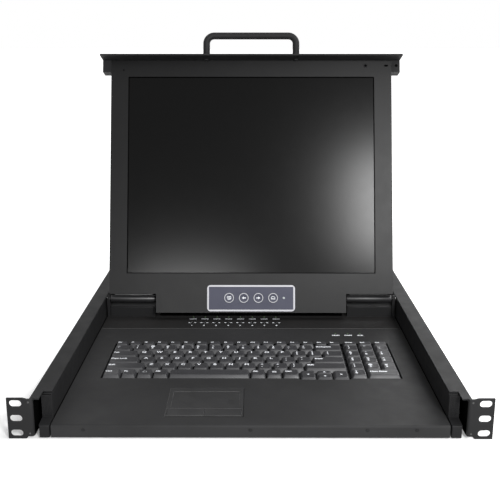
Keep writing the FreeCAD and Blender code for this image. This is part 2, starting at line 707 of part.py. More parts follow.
def touchpad():
    """Touchpad plate with its sunken pad, and the two buttons in front of it."""
    left, right = -S.pad_left, -S.pad_left + S.pad_width
    front, rear = S.pad_front, S.pad_front + S.pad_depth
    top = DECK_TOP + S.pad_proud
    margin = S.touch_margin
    base = block((left, right), (front, rear), (above(S.pad_foot), top), "TouchBase")
    recess = block((left + margin, right - margin),
                   (front + S.touch_front, front + S.touch_front + S.touch_depth),
                   (top - S.touch_recess, top + 1), "TouchRecess")
    inset = S.button_inset
    middle = (left + right) / 2
    wells = block((left + inset, right - inset), (front + inset, front + inset + S.button_depth),
                  (above(S.pad_foot) + S.tray_sheet, top + 1), "ButtonWell")
    foot = block((left, right), (rear - margin, rear), (TRAY_TOP, above(S.pad_foot)), "TouchFoot")
    shell = cut("TouchShell", base, [recess, wells])
    node("touchpad", join("Touchpad", [shell, foot]))
    play = S.button_play
    for label, x in (("touch_button_left", (left + inset + play, middle - play / 2)),
                     ("touch_button_right", (middle + play / 2, right - inset - play))):
        body = new_body("TouchButton")
        pad(body, "XY", rectangle(x, (front + inset + play, front + inset + S.button_depth - play)),
            above(S.button_foot), top)
        round_edges(body, S.button_play, lambda edge: near(edge.CenterOfMass.z, top))
        node(label, body)


# ---------------------------------------------------------------- hinges

def hinge_bracket(side, label):
    """Cast bracket: a block behind the lid's cut-out, and the leg that holds the hinge pin."""
    inner, outer = S.cutout_inner + S.block_side_gap, LID_HALF
    front = HINGE_Y - S.block_front
    rear = front + S.hinge_block_depth
    top = above(S.block_top)
    body = new_body("HingeBlock")
    pad(body, "YZ", rectangle((front, rear), (DECK_TOP, top)), *side_span(side, inner, outer))
    round_edges(body, S.hinge_block_round, lambda edge: runs_along(edge, "x") and near(
        edge.CenterOfMass.y, front) and near(edge.CenterOfMass.z, top))
    doc.recompute()
    leg_x = side_span(side, LID_HALF + S.leg_gap, LID_HALF + S.leg_gap + S.leg_sheet)
    plate = block(leg_x, (HINGE_Y - S.leg_round, rear), (DECK_TOP, top - S.hinge_block_round), "Leg")
    neck = block(leg_x, (HINGE_Y - S.leg_round, HINGE_Y + S.leg_round), (DECK_TOP, HINGE_Z), "Neck")
    eye = rod("x", S.leg_round, (leg_x[0], HINGE_Y, HINGE_Z), S.leg_sheet, "Eye")
    bridge = block(side_span(side, outer - 1, LID_HALF + S.leg_gap + 1), (rear - S.leg_round, rear),
                   (DECK_TOP, top - S.hinge_block_round), "Bridge")
    bore = rod("x", S.pin_radius, (leg_x[0] - 1, HINGE_Y, HINGE_Z), S.leg_sheet + 2, "PinHole")
    node(label, cut("HingeBracket", join("HingeSolid", [body, plate, neck, eye, bridge]), [bore]))


def hinge_pins():
    """Pins, held in the bracket legs, on which the lid's barrels turn."""
    pins = []
    for side in (-1, 1):
        x = side_span(side, S.cutout_inner + 2 * S.barrel_inset,
                      LID_HALF + S.leg_gap + S.leg_sheet + S.pin_tail)
        pins.append(rod("x", S.pin_radius, (x[0], HINGE_Y, HINGE_Z), x[1] - x[0], "HingePin"))
    node("hinge_pins", group("HingePins", pins))


def hinge_barrels():
    """Friction barrels with the leaves that run up inside the lid."""
    barrels = []
    for side in (-1, 1):
        x = side_span(side, S.cutout_inner + S.barrel_inset, LID_HALF - S.barrel_end)
        barrel = rod("x", S.barrel_radius, (x[0], 0, 0), x[1] - x[0], "Barrel")
        leaf_x = (x[0] + S.leaf_margin, x[1] - S.leaf_margin)
        leaf_back = S.lid_back - S.lid_sheet
        leaf = block(leaf_x, (leaf_back - S.leaf_sheet, leaf_back), (0, S.leaf_length), "Leaf")
        bore = rod("x", S.pin_radius + S.pin_play, (x[0] - 1, 0, 0), x[1] - x[0] + 2, "Bore")
        barrels.append(cut("HingeBarrel", join("BarrelSolid", [barrel, leaf]), [bore]))
    lid_node("hinge_barrels", group("HingeBarrels", barrels))


# ---------------------------------------------------------------- lid, drawn upright on the hinge axis

LID_TOP = LID_LENGTH - S.panel_sheet
SCREEN_X = S.lcd_width / 2
SCREEN_Z = (S.lcd_drop, S.lcd_drop + S.lcd_height)
OSD_LOW = S.osd_margin - S.lid_tail
OSD_TOP = OSD_LOW + S.osd_height
BUTTON_Z = OSD_LOW + S.osd_button_rise
BUTTON_X = [(step - 1) * S.osd_button_pitch - S.osd_button_pitch / 2 for step in range(4)]


def lid_outline(margin=0):
    """Front view of the lid: a plate with a hinge cut-out at each lower corner."""
    side = LID_HALF - margin
    notch_x = S.cutout_inner - margin
    notch_z, low, top = S.cutout_top + margin, -S.lid_tail + margin, LID_TOP - margin
    return [(notch_x, low), (notch_x, notch_z), (side, notch_z), (side, top),
            (-side, top), (-side, notch_z), (-notch_x, notch_z), (-notch_x, low)]


def lid_cover():
    """Folded steel back of the lid, a shallow tray behind the screen."""
    sheet = S.lid_sheet
    body = new_body("LidCover")
    pad(body, "XZ", lid_outline(), sheet - S.lid_face, S.lid_back)
    round_edges(body, S.lid_round, lambda edge: near(edge.CenterOfMass.y, S.lid_back) and not near(
        edge.CenterOfMass.z, LID_TOP))
    doc.recompute()
    pocket(body, "XZ", [lid_outline(sheet)], sheet - S.lid_face, S.lid_back - sheet)
    doc.recompute()
    slots = []
    for side in (-1, 1):
        x = side_span(side, S.cutout_inner + S.barrel_inset + S.leaf_margin - sheet,
                      LID_HALF - S.barrel_end - S.leaf_margin + sheet)
        back = S.lid_back - sheet
        slots.append(block(x, (back - S.leaf_sheet - sheet / 2, back),
                           (S.cutout_top - 1, S.cutout_top + 2 * sheet), "LeafSlot"))
    lid_node("lid_cover", cut("LidCoverCut", body, slots))


def lid_bezel():
    """Front plate of the lid with the screen window and the openings of the control panel."""
    face = -S.lid_face
    body = new_body("LidBezel")
    pad(body, "XZ", lid_outline(), face, face + S.lid_sheet)
    doc.recompute()
    lap = S.bezel_lap
    window = rectangle((-SCREEN_X - lap, SCREEN_X + lap), (SCREEN_Z[0] - lap, SCREEN_Z[1] + lap))
    reach = S.osd_led_x + 2 * S.osd_led_radius
    behind_buttons = rectangle((-reach, reach), around(BUTTON_Z, 2 * S.osd_button_radius + 2))
    pocket(body, "XZ", [window, behind_buttons], face - 1, face + S.lid_sheet + 1)
    lid_node("lid_bezel", body)


def screen():
    """Glass of the display, the display unit behind it and its driver board."""
    back_of_bezel = S.lid_sheet - S.lid_face
    border = S.lcd_border
    glass = new_body("ScreenGlass")
    pad(glass, "XZ", rectangle((-SCREEN_X - border / 2, SCREEN_X + border / 2),
                               (SCREEN_Z[0] - border / 2, SCREEN_Z[1] + border / 2)),
        back_of_bezel, back_of_bezel + S.lcd_glass)
    lid_node("screen_glass", glass)
    unit = new_body("DisplayUnit")
    rim = back_of_bezel + S.lcd_glass
    pad(unit, "XZ", rectangle((-SCREEN_X - border, SCREEN_X + border),
                              (SCREEN_Z[0] - border, SCREEN_Z[1] + border)), rim, rim + S.lcd_depth)
    lid_node("display_unit", unit)
    back = S.lid_back - S.lid_sheet
    half, low = S.osd_width / 2, back - S.standoff - S.board_sheet
    board = block((-half, half), (low, low + S.board_sheet),
                  (S.lid_sheet - S.lid_tail + 1, SCREEN_Z[0] - border - 1), "DriverBoard")
    posts = [block(around(side * (half - 2 * S.standoff_width), S.standoff_width),
                   (back - S.standoff, back), around(z, S.standoff_width), "Standoff")
             for side in (-1, 1) for z in (-S.lid_tail / 2, S.lid_tail / 2)]
    lid_node("screen_driver_board", join("DriverBoardSolid", [board] + posts))


def control_panel():
    """Framed panel below the screen with four push buttons and a power light."""
    face = -S.lid_face
    half = S.osd_width / 2
    frame = new_body("PanelFrame")
    pad(frame, "XZ", rectangle((-half, half), (OSD_LOW, OSD_TOP)), face - S.osd_frame_rise, face)
    round_edges(frame, S.osd_round, lambda edge: runs_along(edge, "y"))
    doc.recompute()
    rim = S.osd_border
    inside = rectangle((rim - half, half - rim), (OSD_LOW + rim, OSD_TOP - rim))
    pocket(frame, "XZ", [inside], face - S.osd_frame_rise, face)
    lid_node("panel_frame", frame)
    plate = new_body("PanelPlate")
    pad(plate, "XZ", inside, face - S.osd_plate_rise, face)
    doc.recompute()
    bores = [(x, BUTTON_Z, S.osd_button_radius + S.osd_play) for x in BUTTON_X]
    pocket(plate, "XZ", bores, face - S.osd_plate_rise - 1, face + 1)
    lid_node("panel_plate", plate)
    proud = face - S.osd_frame_rise
    for number, x in enumerate(BUTTON_X, start=1):
        button = rod("y", S.osd_button_radius, (x, proud, BUTTON_Z), S.osd_button_depth, "PanelButton")
        lid_node(f"panel_button_{number}", group("PanelButtonPiece", [button]))
    light = rod("y", S.osd_led_radius, (S.osd_led_x, proud, BUTTON_Z),
                S.osd_frame_rise - S.osd_plate_rise, "PowerLight")
    lid_node("power_light", group("PowerLightPiece", [light]))


def front_panel():
    """Full-height front plate at the lid's top edge, which closes the drawer front."""
    body = new_body("FrontPanel")
    pad(body, "XY", rectangle((-PANEL_HALF, PANEL_HALF), (S.lid_back - S.panel_height, S.lid_back)),
        LID_TOP, LID_LENGTH)
    round_edges(body, S.block_round, lambda edge: runs_along(edge, "z"))
    lid_node("front_panel", body)


def panel_block(side, label):
    """Block that closes the corner between the lid's side and the front panel."""
    x = side_span(side, LID_HALF, PANEL_HALF)
    body = new_body("PanelBlock")
    pad(body, "XY", rectangle(x, (-S.lid_face, S.lid_back)), LID_TOP - S.block_length, LID_TOP)
    round_edges(body, S.block_round, lambda edge: runs_along(edge, "z") and near(
        abs(edge.CenterOfMass.x), PANEL_HALF))
    lid_node(label, body)


HANDLE_Y = S.lid_back - S.panel_height / 2
HANDLE_X = [side * (S.handle_width / 2 - S.handle_radius) for side in (-1, 1)]


def handle():
    """Round bar bent to a U, standing on the outside of the front panel."""
    body = new_body("Handle")
    path = sketch_on(body, "XZ", HANDLE_Y)
    reach = LID_LENGTH + S.handle_reach - S.handle_radius
    bend = S.handle_bend
    left, right = HANDLE_X
    legs = []
    for x, turn_x in ((left, left + bend), (right, right - bend)):
        leg = path.addGeometry(Part.LineSegment(point(x, LID_LENGTH), point(x, reach - bend)))
        legs.append(leg)
    bar = path.addGeometry(Part.LineSegment(point(left + bend, reach), point(right - bend, reach)))
    pi = 3.141592653589793
    arcs = []
    for x, start in ((left + bend, pi / 2), (right - bend, 0)):
        corner = Part.Circle(point(x, reach - bend), FreeCAD.Vector(0, 0, 1), bend.value)
        arcs.append(path.addGeometry(Part.ArcOfCircle(corner, start, start + pi / 2)))
    joints = ((legs[0], 2, arcs[0], 2), (arcs[0], 1, bar, 1), (bar, 2, arcs[1], 2), (arcs[1], 1, legs[1], 2))
    for first, first_end, second, second_end in joints:
        path.addConstraint(Sketcher.Constraint("Tangent", first, first_end, second, second_end))
    for leg, x in zip(legs, HANDLE_X):
        fix_point(path, leg, 1, x, LID_LENGTH)
    path.addConstraint(Sketcher.Constraint("Vertical", legs[0]))
    path.addConstraint(Sketcher.Constraint("Vertical", legs[1]))
    path.addConstraint(Sketcher.Constraint("Horizontal", bar))
    path.addConstraint(Sketcher.Constraint("Equal", arcs[0], arcs[1]))
    radius = path.addConstraint(Sketcher.Constraint("Radius", arcs[0], bend.value))
    bind(path, f"Constraints[{radius}]", bend)
    level = path.addConstraint(Sketcher.Constraint("DistanceY", -1, 1, bar, 1, reach.value))
    bind(path, f"Constraints[{level}]", reach)
    section = sketch_on(body, "XY", LID_LENGTH)
    circle(section, left, HANDLE_Y, S.handle_radius)
    doc.recompute()
    pipe = body.newObject("PartDesign::AdditivePipe", "Bar")
    pipe.Profile = section
    pipe.Spine = (path, [])
    lid_node("handle", body)


def point(x, y):
    return FreeCAD.Vector(Size.of(x).value, Size.of(y).value, 0)


# ---------------------------------------------------------------- console module

CASE_LID = above(S.case_top) - S.case_sheet
CASE_BED = TRAY_TOP + S.case_sheet
PORT_Z = above(S.port_level)
PORT_X = [step * S.port_pitch + S.port_margin - CASE_HALF for step in range(SIZES["port_count"])]
INLET_Z = above(S.inlet_level)
INLET_X = CASE_HALF - S.inlet_margin
SWITCH_X = INLET_X - S.switch_pitch


def console_case():
    """Steel box at the rear of the drawer, its rear wall cut out for the sockets."""
    sheet, rear = S.case_sheet, CASE_REAR
    outer = block((-CASE_HALF, CASE_HALF), (CASE_FRONT, rear), (TRAY_TOP, CASE_LID), "CaseOuter")
    inner = block((sheet - CASE_HALF, CASE_HALF - sheet), (CASE_FRONT + sheet, rear - sheet),
                  (CASE_BED, CASE_LID + 1), "CaseInner")
    wall = (rear - 2 * sheet, rear + 1)
    tools = [inner]
    for x in PORT_X:
        tools.append(block(around(x, S.port_shell), wall, around(PORT_Z, S.port_shell_height), "PortHole"))
    tools.append(block(around(INLET_X, S.inlet_width), wall, around(INLET_Z, S.inlet_height), "InletHole"))
    tools.append(block(around(SWITCH_X, S.switch_width), wall, around(INLET_Z, S.switch_height),
                       "SwitchHole"))
    node("console_case", cut("ConsoleCase", outer, tools))


def console_cover():
    """Flat top of the console module with two rows of vent slots."""
    top = above(S.case_top)
    plate = block((-CASE_HALF, CASE_HALF), (CASE_FRONT, CASE_REAR), (CASE_LID, top), "CoverPlate")
    tools = []
    for side in (-1, 1):
        for index in range(SIZES["vent_count"]):
            y = CASE_FRONT + S.vent_start + index * S.vent_pitch
            x = side_span(side, CASE_HALF - S.vent_inset - S.vent_length, CASE_HALF - S.vent_inset)
            tools.append(block(x, (y, y + S.vent_width), (CASE_LID - 1, top + 1), "Vent"))
    node("console_cover", cut("ConsoleCover", plate, tools))


def main_board():
    """Switching board under the video sockets, on standoffs, with its larger chips."""
    low = PORT_Z - S.port_shell_height / 2 - S.board_sheet
    top = low + S.board_sheet
    left, right = PORT_X[0] - S.port_pitch / 3, PORT_X[-1] + S.port_pitch / 3
    rear = CASE_REAR - S.main_board_gap
    front = rear - S.main_board_depth
    pieces = [block((left, right), (front, rear), (low, top), "Board")]
    for x in (left + S.post_inset, right - S.post_inset):
        for y in (front + S.post_inset, rear - S.post_inset):
            pieces.append(block(around(x, S.standoff_width), around(y, S.standoff_width),
                                (CASE_BED, low), "Standoff"))
    for x in PORT_X[::2]:
        pieces.append(block((x, x + S.chip_width), around((front + rear) / 2, S.chip_width),
                            (top, top + S.chip_height), "Chip"))
    node("main_board", join("MainBoard", pieces))


def power_supply():
    """Enclosed supply unit on the floor of the case, in front of the inlet."""
    body = new_body("PowerSupply")
    y = around((CASE_FRONT + CASE_REAR) / 2, S.supply_depth)
    pad(body, "XY", rectangle(around(INLET_X - S.supply_shift, S.supply_width), y), CASE_BED,
        CASE_BED + S.supply_height)
    round_edges(body, S.block_round, lambda edge: near(edge.CenterOfMass.z, CASE_BED + S.supply_height))
    node("power_supply", body)


def video_sockets():
    """Row of D-shaped video sockets: flange, solid-faced shell and the foot on the board."""
    sockets = []
    rear, wall = CASE_REAR, S.port_wall
    half, rise = S.port_shell / 2 - S.pin_play, S.port_shell_height / 2 - S.pin_play
    for x in PORT_X:
        flange = block(around(x, S.port_width), (rear, rear + wall), around(PORT_Z, S.port_height),
                       "PortFlange")
        shell = new_body("PortShell")
        front_view = [(x - half, PORT_Z + rise), (x + half, PORT_Z + rise),
                      (x + half - 2 * wall, PORT_Z - rise), (x - half + 2 * wall, PORT_Z - rise)]
        pad(shell, "XZ", front_view, rear - S.port_back, rear + S.port_reach)
        foot = block(around(x, S.port_shell - 4 * wall), (rear - S.port_back, rear - S.main_board_gap),
                     (PORT_Z - S.port_shell_height / 2, PORT_Z), "PortFoot")
        sockets.append(join("Port", [flange, shell, foot]))
    node("video_sockets", group("VideoSockets", sockets))


def power_inlet():
    """Mains inlet with three pins and, beside it, the housing of the rocker switch."""
    rear, wall, play = CASE_REAR, S.inlet_wall, S.pin_play
    pieces, wells = [], []
    for x, width, height in ((INLET_X, S.inlet_width, S.inlet_height),
                             (SWITCH_X, S.switch_width, S.switch_height)):
        pieces.append(block(around(x, width - 2 * play), (rear - S.inlet_depth, rear),
                            around(INLET_Z, height - 2 * play), "InletBody"))
        wells.append(block(around(x, width - 2 * wall), (rear - S.inlet_depth + wall, rear + 2 * wall),
                           around(INLET_Z, height - 2 * wall), "InletWell"))
    plate_left = SWITCH_X - S.switch_width / 2 - S.inlet_flange
    plate_right = INLET_X + S.inlet_width / 2 + S.inlet_flange
    plate = block((plate_left, plate_right), (rear, rear + S.inlet_plate),
                  around(INLET_Z, S.inlet_height + S.inlet_flange), "InletPlate")
    housing = cut("InletHousing", join("InletSolid", [plate] + pieces), wells)
    spread, rise = S.inlet_pin_spread, S.inlet_pin_rise
    pins = [block(around(INLET_X + dx, S.inlet_pin_width), (rear - S.inlet_depth + wall / 2, rear - wall),
                  around(INLET_Z + dz, 2 * rise), "Pin") for dx, dz in ((-spread, -rise), (0, rise),
                                                                        (spread, -rise))]
    node("power_inlet", join("PowerInlet", [housing] + pins))


def power_rocker():
    """Rocker of the power switch, standing in its off position."""
    body = new_body("PowerRocker")
    half, face = S.rocker_half, S.rocker_face
    shape = [(-half, -face), (half, -face), (half, face), (0, face - S.rocker_dip), (-half, face)]
    rise = S.switch_height / 2 - S.inlet_wall - S.rocker_play
    pad(body, "XY", shape, -rise, rise)
    doc.recompute()
    reach = rise + S.rocker_play - S.pin_play
    hub = rod("z", S.rocker_hub, (0, 0, -reach), 2 * reach, "RockerHub")
    rocker = join("Rocker", [body, hub])
    rocker.Placement = FreeCAD.Placement(FreeCAD.Vector(), FreeCAD.Rotation(
        FreeCAD.Vector(0, 0, 1), SIZES["rocker_tilt"]))
    place(rocker, SWITCH_X, CASE_REAR - S.rocker_pivot, INLET_Z)
    bind(rocker, "Placement.Rotation.Angle", S.rocker_tilt)
    node("power_rocker", rocker)


# ---------------------------------------------------------------- build, check and write

def build():
    """Draw every sub-part of the console drawer."""
    chassis_channel()
    slides()
    tray_floor()
    keyboard_deck()
    control_deck()
    keyboard()
    touchpad()
    hinge_pins()
    hinge_barrels()
    for side, name in ((-1, "left"), (1, "right")):
        rack_ear(side, f"rack_ear_{name}")
        tray_side(side, f"tray_side_{name}")
        tray_corner(side, f"tray_corner_{name}")
        hinge_bracket(side, f"hinge_bracket_{name}")
        panel_block(side, f"panel_block_{name}")
    lid_cover()
    lid_bezel()
    screen()
    control_panel()
    front_panel()
    handle()
    console_case()
    console_cover()
    main_board()
    power_supply()
    video_sockets()
    power_inlet()
    power_rocker()


def export():
    """Recompute, refuse anything faulty, and write one STEP file for each sub-part."""
    doc.recompute()
    faulty = [item.Name for item in doc.Objects if {"Invalid", "Error"} & set(item.State)]
    if faulty:
        raise RuntimeError(f"features with errors: {faulty}")
    os.makedirs("parts", exist_ok=True)
    for thing in nodes:
        if thing.Shape.isNull() or not thing.Shape.isValid():
            raise RuntimeError(f"{thing.Label} has no valid shape")
        thing.Shape.exportStep(f"parts/{thing.Label}.step")


build()
export()
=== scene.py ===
"""Looks of the rackmount console drawer: materials, legends, icons, studio and camera."""

import math

import bmesh
import bpy
from mathutils import Matrix, Vector


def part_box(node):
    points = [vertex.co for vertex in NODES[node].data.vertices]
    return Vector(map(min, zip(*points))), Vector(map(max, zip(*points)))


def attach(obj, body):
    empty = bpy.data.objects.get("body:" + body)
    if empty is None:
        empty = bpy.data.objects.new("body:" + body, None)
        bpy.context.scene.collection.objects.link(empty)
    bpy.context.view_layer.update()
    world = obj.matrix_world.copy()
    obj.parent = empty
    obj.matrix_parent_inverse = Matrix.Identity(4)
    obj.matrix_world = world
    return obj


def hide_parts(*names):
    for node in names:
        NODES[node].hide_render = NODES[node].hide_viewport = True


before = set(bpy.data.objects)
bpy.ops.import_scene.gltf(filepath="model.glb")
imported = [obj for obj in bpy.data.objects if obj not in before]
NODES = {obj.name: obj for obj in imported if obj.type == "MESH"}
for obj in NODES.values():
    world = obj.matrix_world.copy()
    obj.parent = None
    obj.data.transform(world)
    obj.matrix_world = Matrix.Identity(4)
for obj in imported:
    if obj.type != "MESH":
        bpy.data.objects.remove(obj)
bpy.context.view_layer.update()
MM = 0.001

LID_TILT = math.radians(17.55)
HINGE = Vector((0.0, 0.3275, 0.017575))
EAR_HEIGHT = 43.65


def height(value):
    """Z in metres of a height in millimetres above the ears' lower edge."""
    return (value - EAR_HEIGHT / 2) * MM


# ---------------------------------------------------------------- materials

NOISE_SPAN = (0.3, 0.7)
SLOW_SCALE, PATCH_SCALE, EDGE_PATCH_SCALE, GLOW_SCALE = 14.0, 60.0, 90.0, 900.0
# Radius of the edge mask for paler edges, partly wear and partly painted highlight
EDGE_WEAR_AND_HIGHLIGHT_RADIUS = 0.0006
EDGE_SPAN = (0.75, 0.98)


def link(tree, source, target):
    tree.links.new(source, target)


def new_material(name):
    material = bpy.data.materials.new(name)
    material.use_nodes = True
    tree = material.node_tree
    shader = tree.nodes["Principled BSDF"]
    return material, tree, shader


def noise(tree, scale, detail=2.0, stretch=(1, 1, 1)):
    """Noise texture on object coordinates, which are metres in the row frame."""
    coords = tree.nodes.new("ShaderNodeTexCoord")
    mapping = tree.nodes.new("ShaderNodeMapping")
    mapping.inputs["Scale"].default_value = stretch
    texture = tree.nodes.new("ShaderNodeTexNoise")
    texture.inputs["Scale"].default_value = scale
    texture.inputs["Detail"].default_value = detail
    texture.inputs["Roughness"].default_value = 0.5
    link(tree, coords.outputs["Object"], mapping.inputs["Vector"])
    link(tree, mapping.outputs["Vector"], texture.inputs["Vector"])
    return texture.outputs["Fac"]


def remap(tree, value, low, high, span=NOISE_SPAN):
    """Stretch a value from one span to another."""
    node = tree.nodes.new("ShaderNodeMapRange")
    node.inputs["From Min"].default_value, node.inputs["From Max"].default_value = span
    node.inputs["To Min"].default_value, node.inputs["To Max"].default_value = low, high
    link(tree, value, node.inputs["Value"])
    return node.outputs["Result"]


def tint(tree, value, dark, light):
    """Colour between dark and light by a noise value."""
    ramp = tree.nodes.new("ShaderNodeValToRGB")
    for element, position, color in zip(ramp.color_ramp.elements, NOISE_SPAN, (dark, light)):
        element.position, element.color = position, (*color, 1)
    link(tree, value, ramp.inputs["Fac"])
    return ramp.outputs["Color"]


def bumpy(tree, shader, value, depth):
    bump = tree.nodes.new("ShaderNodeBump")
    bump.inputs["Strength"].default_value = 1.0
    bump.inputs["Distance"].default_value = depth
    link(tree, value, bump.inputs["Height"])
    link(tree, bump.outputs["Normal"], shader.inputs["Normal"])


def edge_mask(tree, radius):
    """How far the rounded normal turns from the face's own: 0 on flats, 1 on sharp edges."""
    soft = tree.nodes.new("ShaderNodeBevel")
    soft.samples = 4
    soft.inputs["Radius"].default_value = radius
    flat = tree.nodes.new("ShaderNodeNewGeometry")
    dot = tree.nodes.new("ShaderNodeVectorMath")
    dot.operation = "DOT_PRODUCT"
    link(tree, soft.outputs["Normal"], dot.inputs[0])
    link(tree, flat.outputs["Normal"], dot.inputs[1])
    return remap(tree, dot.outputs["Value"], 1.0, 0.0, EDGE_SPAN)


def grained(name, color, rough, grain=2200.0, depth=0.00003, spread=0.12, specular=0.5,
            metallic=0.0, stretch=(1, 1, 1), wear=0.05, edge_wear_and_highlight=0.0):
    """Coated or moulded surface: fine grain, slow changes in colour and gloss, paler edges that are
    partly wear and partly painted highlight.
    """
    material, tree, shader = new_material(name)
    slow = noise(tree, SLOW_SCALE, 3.0)
    dark = tuple(channel * (1 - spread) for channel in color)
    light = tuple(channel * (1 + spread) for channel in color)
    tone = tint(tree, slow, dark, light)
    # Paler edges, patchy along their length: partly worn paint, partly painted highlight
    if edge_wear_and_highlight:
        mix = tree.nodes.new("ShaderNodeMix")
        mix.data_type = "RGBA"
        patchy = tree.nodes.new("ShaderNodeMath")
        patchy.operation = "MULTIPLY"
        link(tree, edge_mask(tree, EDGE_WEAR_AND_HIGHLIGHT_RADIUS), patchy.inputs[0])
        link(tree, remap(tree, noise(tree, EDGE_PATCH_SCALE, 4.0), 0.3, 1.0), patchy.inputs[1])
        link(tree, patchy.outputs["Value"], mix.inputs["Factor"])
        link(tree, tone, mix.inputs["A"])
        mix.inputs["B"].default_value = (*(channel + edge_wear_and_highlight for channel in color), 1)
        tone = mix.outputs["Result"]
    link(tree, tone, shader.inputs["Base Color"])
    patch = noise(tree, PATCH_SCALE, 4.0)
    link(tree, remap(tree, patch, rough - wear, rough + wear), shader.inputs["Roughness"])
    shader.inputs["Specular IOR Level"].default_value = specular
    shader.inputs["Metallic"].default_value = metallic
    fine = noise(tree, grain, 2.0, stretch)
    bumpy(tree, shader, fine, depth)
    return material


def glowing(name, color, strength):
    """Plastic that shines faintly by itself."""
    material, tree, shader = new_material(name)
    glow = tint(tree, noise(tree, GLOW_SCALE), tuple(c * 0.8 for c in color), color)
    link(tree, glow, shader.inputs["Base Color"])
    link(tree, glow, shader.inputs["Emission Color"])
    shader.inputs["Emission Strength"].default_value = strength
    shader.inputs["Roughness"].default_value = 0.25
    return material


LOOKS = {
    "coat": grained("black_powder_coat", (0.010, 0.010, 0.0105), 0.62, specular=0.15, edge_wear_and_highlight=0.03),
    "deck": grained("deck_powder_coat", (0.022, 0.022, 0.0225), 0.60, specular=0.12, edge_wear_and_highlight=0.03),
    "bezel": grained("bezel_coat", (0.004, 0.004, 0.0042), 0.37, specular=0.145, wear=0.012,
                     edge_wear_and_highlight=0.03),
    # Painted light: a lighter copy of the black coat, for the light the hinge barrels catch
    "barrel": grained("barrel_coat_painted_light", (0.020, 0.020, 0.021), 0.40, specular=0.5, edge_wear_and_highlight=0.03),
    # Painted shade: a darker copy of the deck coat, for the shade under the lid
    "control": grained("control_deck_painted_shade", (0.014, 0.0135, 0.0135), 0.60, specular=0.12,
                       edge_wear_and_highlight=0.03),
    "ear": grained("ear_coat", (0.014, 0.014, 0.0145), 0.55, specular=0.13, edge_wear_and_highlight=0.03),
    "zinc": grained("zinc_steel", (0.55, 0.55, 0.53), 0.34, grain=400.0, depth=0.00002,
                    spread=0.15, metallic=1.0, stretch=(1, 0.02, 1)),
    "bright": grained("bright_steel", (0.75, 0.75, 0.74), 0.22, grain=900.0, depth=0.00001,
                      spread=0.1, metallic=1.0),
    "dull": grained("dull_rivet", (0.07, 0.07, 0.07), 0.35, grain=900.0, depth=0.00001,
                    spread=0.1, metallic=0.6),
    "plastic": grained("black_plastic", (0.010, 0.010, 0.0105), 0.6, grain=3000.0, specular=0.12,
                       edge_wear_and_highlight=0.02),
    # Painted shade: flat black for holes, seams, gaps and faces that lie in shadow
    "painted_shade": grained("painted_shade_black", (0.002, 0.002, 0.002), 0.9, grain=3000.0, depth=0.00001,
                    specular=0.0),
    "key": grained("key_plastic", (0.036, 0.036, 0.0385), 0.40, grain=4000.0, specular=0.3,
                   edge_wear_and_highlight=0.03),
    "pad": grained("touch_surface", (0.030, 0.030, 0.031), 0.45, grain=5000.0, depth=0.00001,
                   spread=0.06, specular=0.2),
    "screen": grained("screen_surface", (0.001, 0.001, 0.001), 0.20, grain=5000.0,
                      depth=0.000004, spread=0.05, specular=0.10, wear=0.004),
    "display": grained("display_metal", (0.40, 0.40, 0.39), 0.4, grain=600.0, depth=0.00002,
                       spread=0.1, metallic=1.0),
    "board": grained("circuit_board", (0.015, 0.11, 0.04), 0.4, grain=300.0, depth=0.00005,
                     spread=0.25),
    "supply": grained("supply_metal", (0.55, 0.55, 0.54), 0.35, grain=500.0, depth=0.00002,
                      spread=0.1, metallic=1.0, stretch=(0.05, 1, 1)),
    "silver": grained("silver_plastic", (0.44, 0.44, 0.47), 0.34, grain=2500.0, depth=0.00001,
                      spread=0.05),
    "panel": grained("panel_grey", (0.062, 0.064, 0.090), 0.5, grain=2500.0, depth=0.00001,
                     spread=0.06, specular=0.15),
    "button": grained("panel_button", (0.056, 0.058, 0.082), 0.5, grain=2500.0, depth=0.00001,
                      spread=0.06, specular=0.15),
    # Painted highlight: the touchpad's strongly paler edges stand for its lit frame
    "touch": grained("touch_frame", (0.022, 0.022, 0.0225), 0.5, grain=3000.0, specular=0.3,
                     edge_wear_and_highlight=0.10),
    # Painted highlight: pale grey for strokes along edges that catch the light
    "edge": grained("painted_edge_highlight", (0.15, 0.15, 0.15), 0.5, grain=3000.0, depth=0.00001,
                    specular=0.2),
    "blue": grained("socket_blue", (0.02, 0.05, 0.30), 0.45, grain=2500.0, depth=0.00001),
    "print": grained("white_print", (0.84, 0.86, 0.90), 0.5, grain=3500.0, depth=0.00001,
                     spread=0.08),
    "light": glowing("power_light", (0.36, 0.40, 0.40), 0.05),
    "lens": glowing("channel_lens", (0.10, 0.16, 0.08), 0.05),
}

NODE_LOOKS = {
    "coat": ["chassis_channel", "tray_floor", "tray_side_left", "tray_side_right", "console_case",
             "console_cover", "lid_cover", "front_panel", "handle", "hinge_bracket_left",
             "hinge_bracket_right"],
    "deck": ["keyboard_deck"], "control": ["control_deck"], "barrel": ["hinge_barrels"],
    "bezel": ["lid_bezel"],
    "ear": ["rack_ear_left", "rack_ear_right"],
    "zinc": ["slide_outer_left", "slide_outer_right", "slide_middle_left", "slide_middle_right",
             "slide_inner_left", "slide_inner_right"],
    "bright": ["hinge_pins", "outer_ball_cages", "inner_ball_cages"],
    "plastic": ["tray_corner_left", "tray_corner_right", "panel_block_left", "panel_block_right",
                "key_board", "power_inlet", "power_rocker"],
    "touch": ["touchpad", "touch_button_left", "touch_button_right"],
    "key": ["function_row_keys", "number_row_keys", "tab_row_keys", "home_row_keys", "shift_row_keys",
            "bottom_row_keys", "space_bar", "number_pad_keys"],
    "screen": ["screen_glass"], "display": ["display_unit"], "silver": ["panel_frame"],
    "board": ["main_board", "screen_driver_board"], "supply": ["power_supply"],
    "panel": ["panel_plate"], "light": ["power_light"], "blue": ["video_sockets"],
    "button": ["panel_button_1", "panel_button_2", "panel_button_3", "panel_button_4"],
}


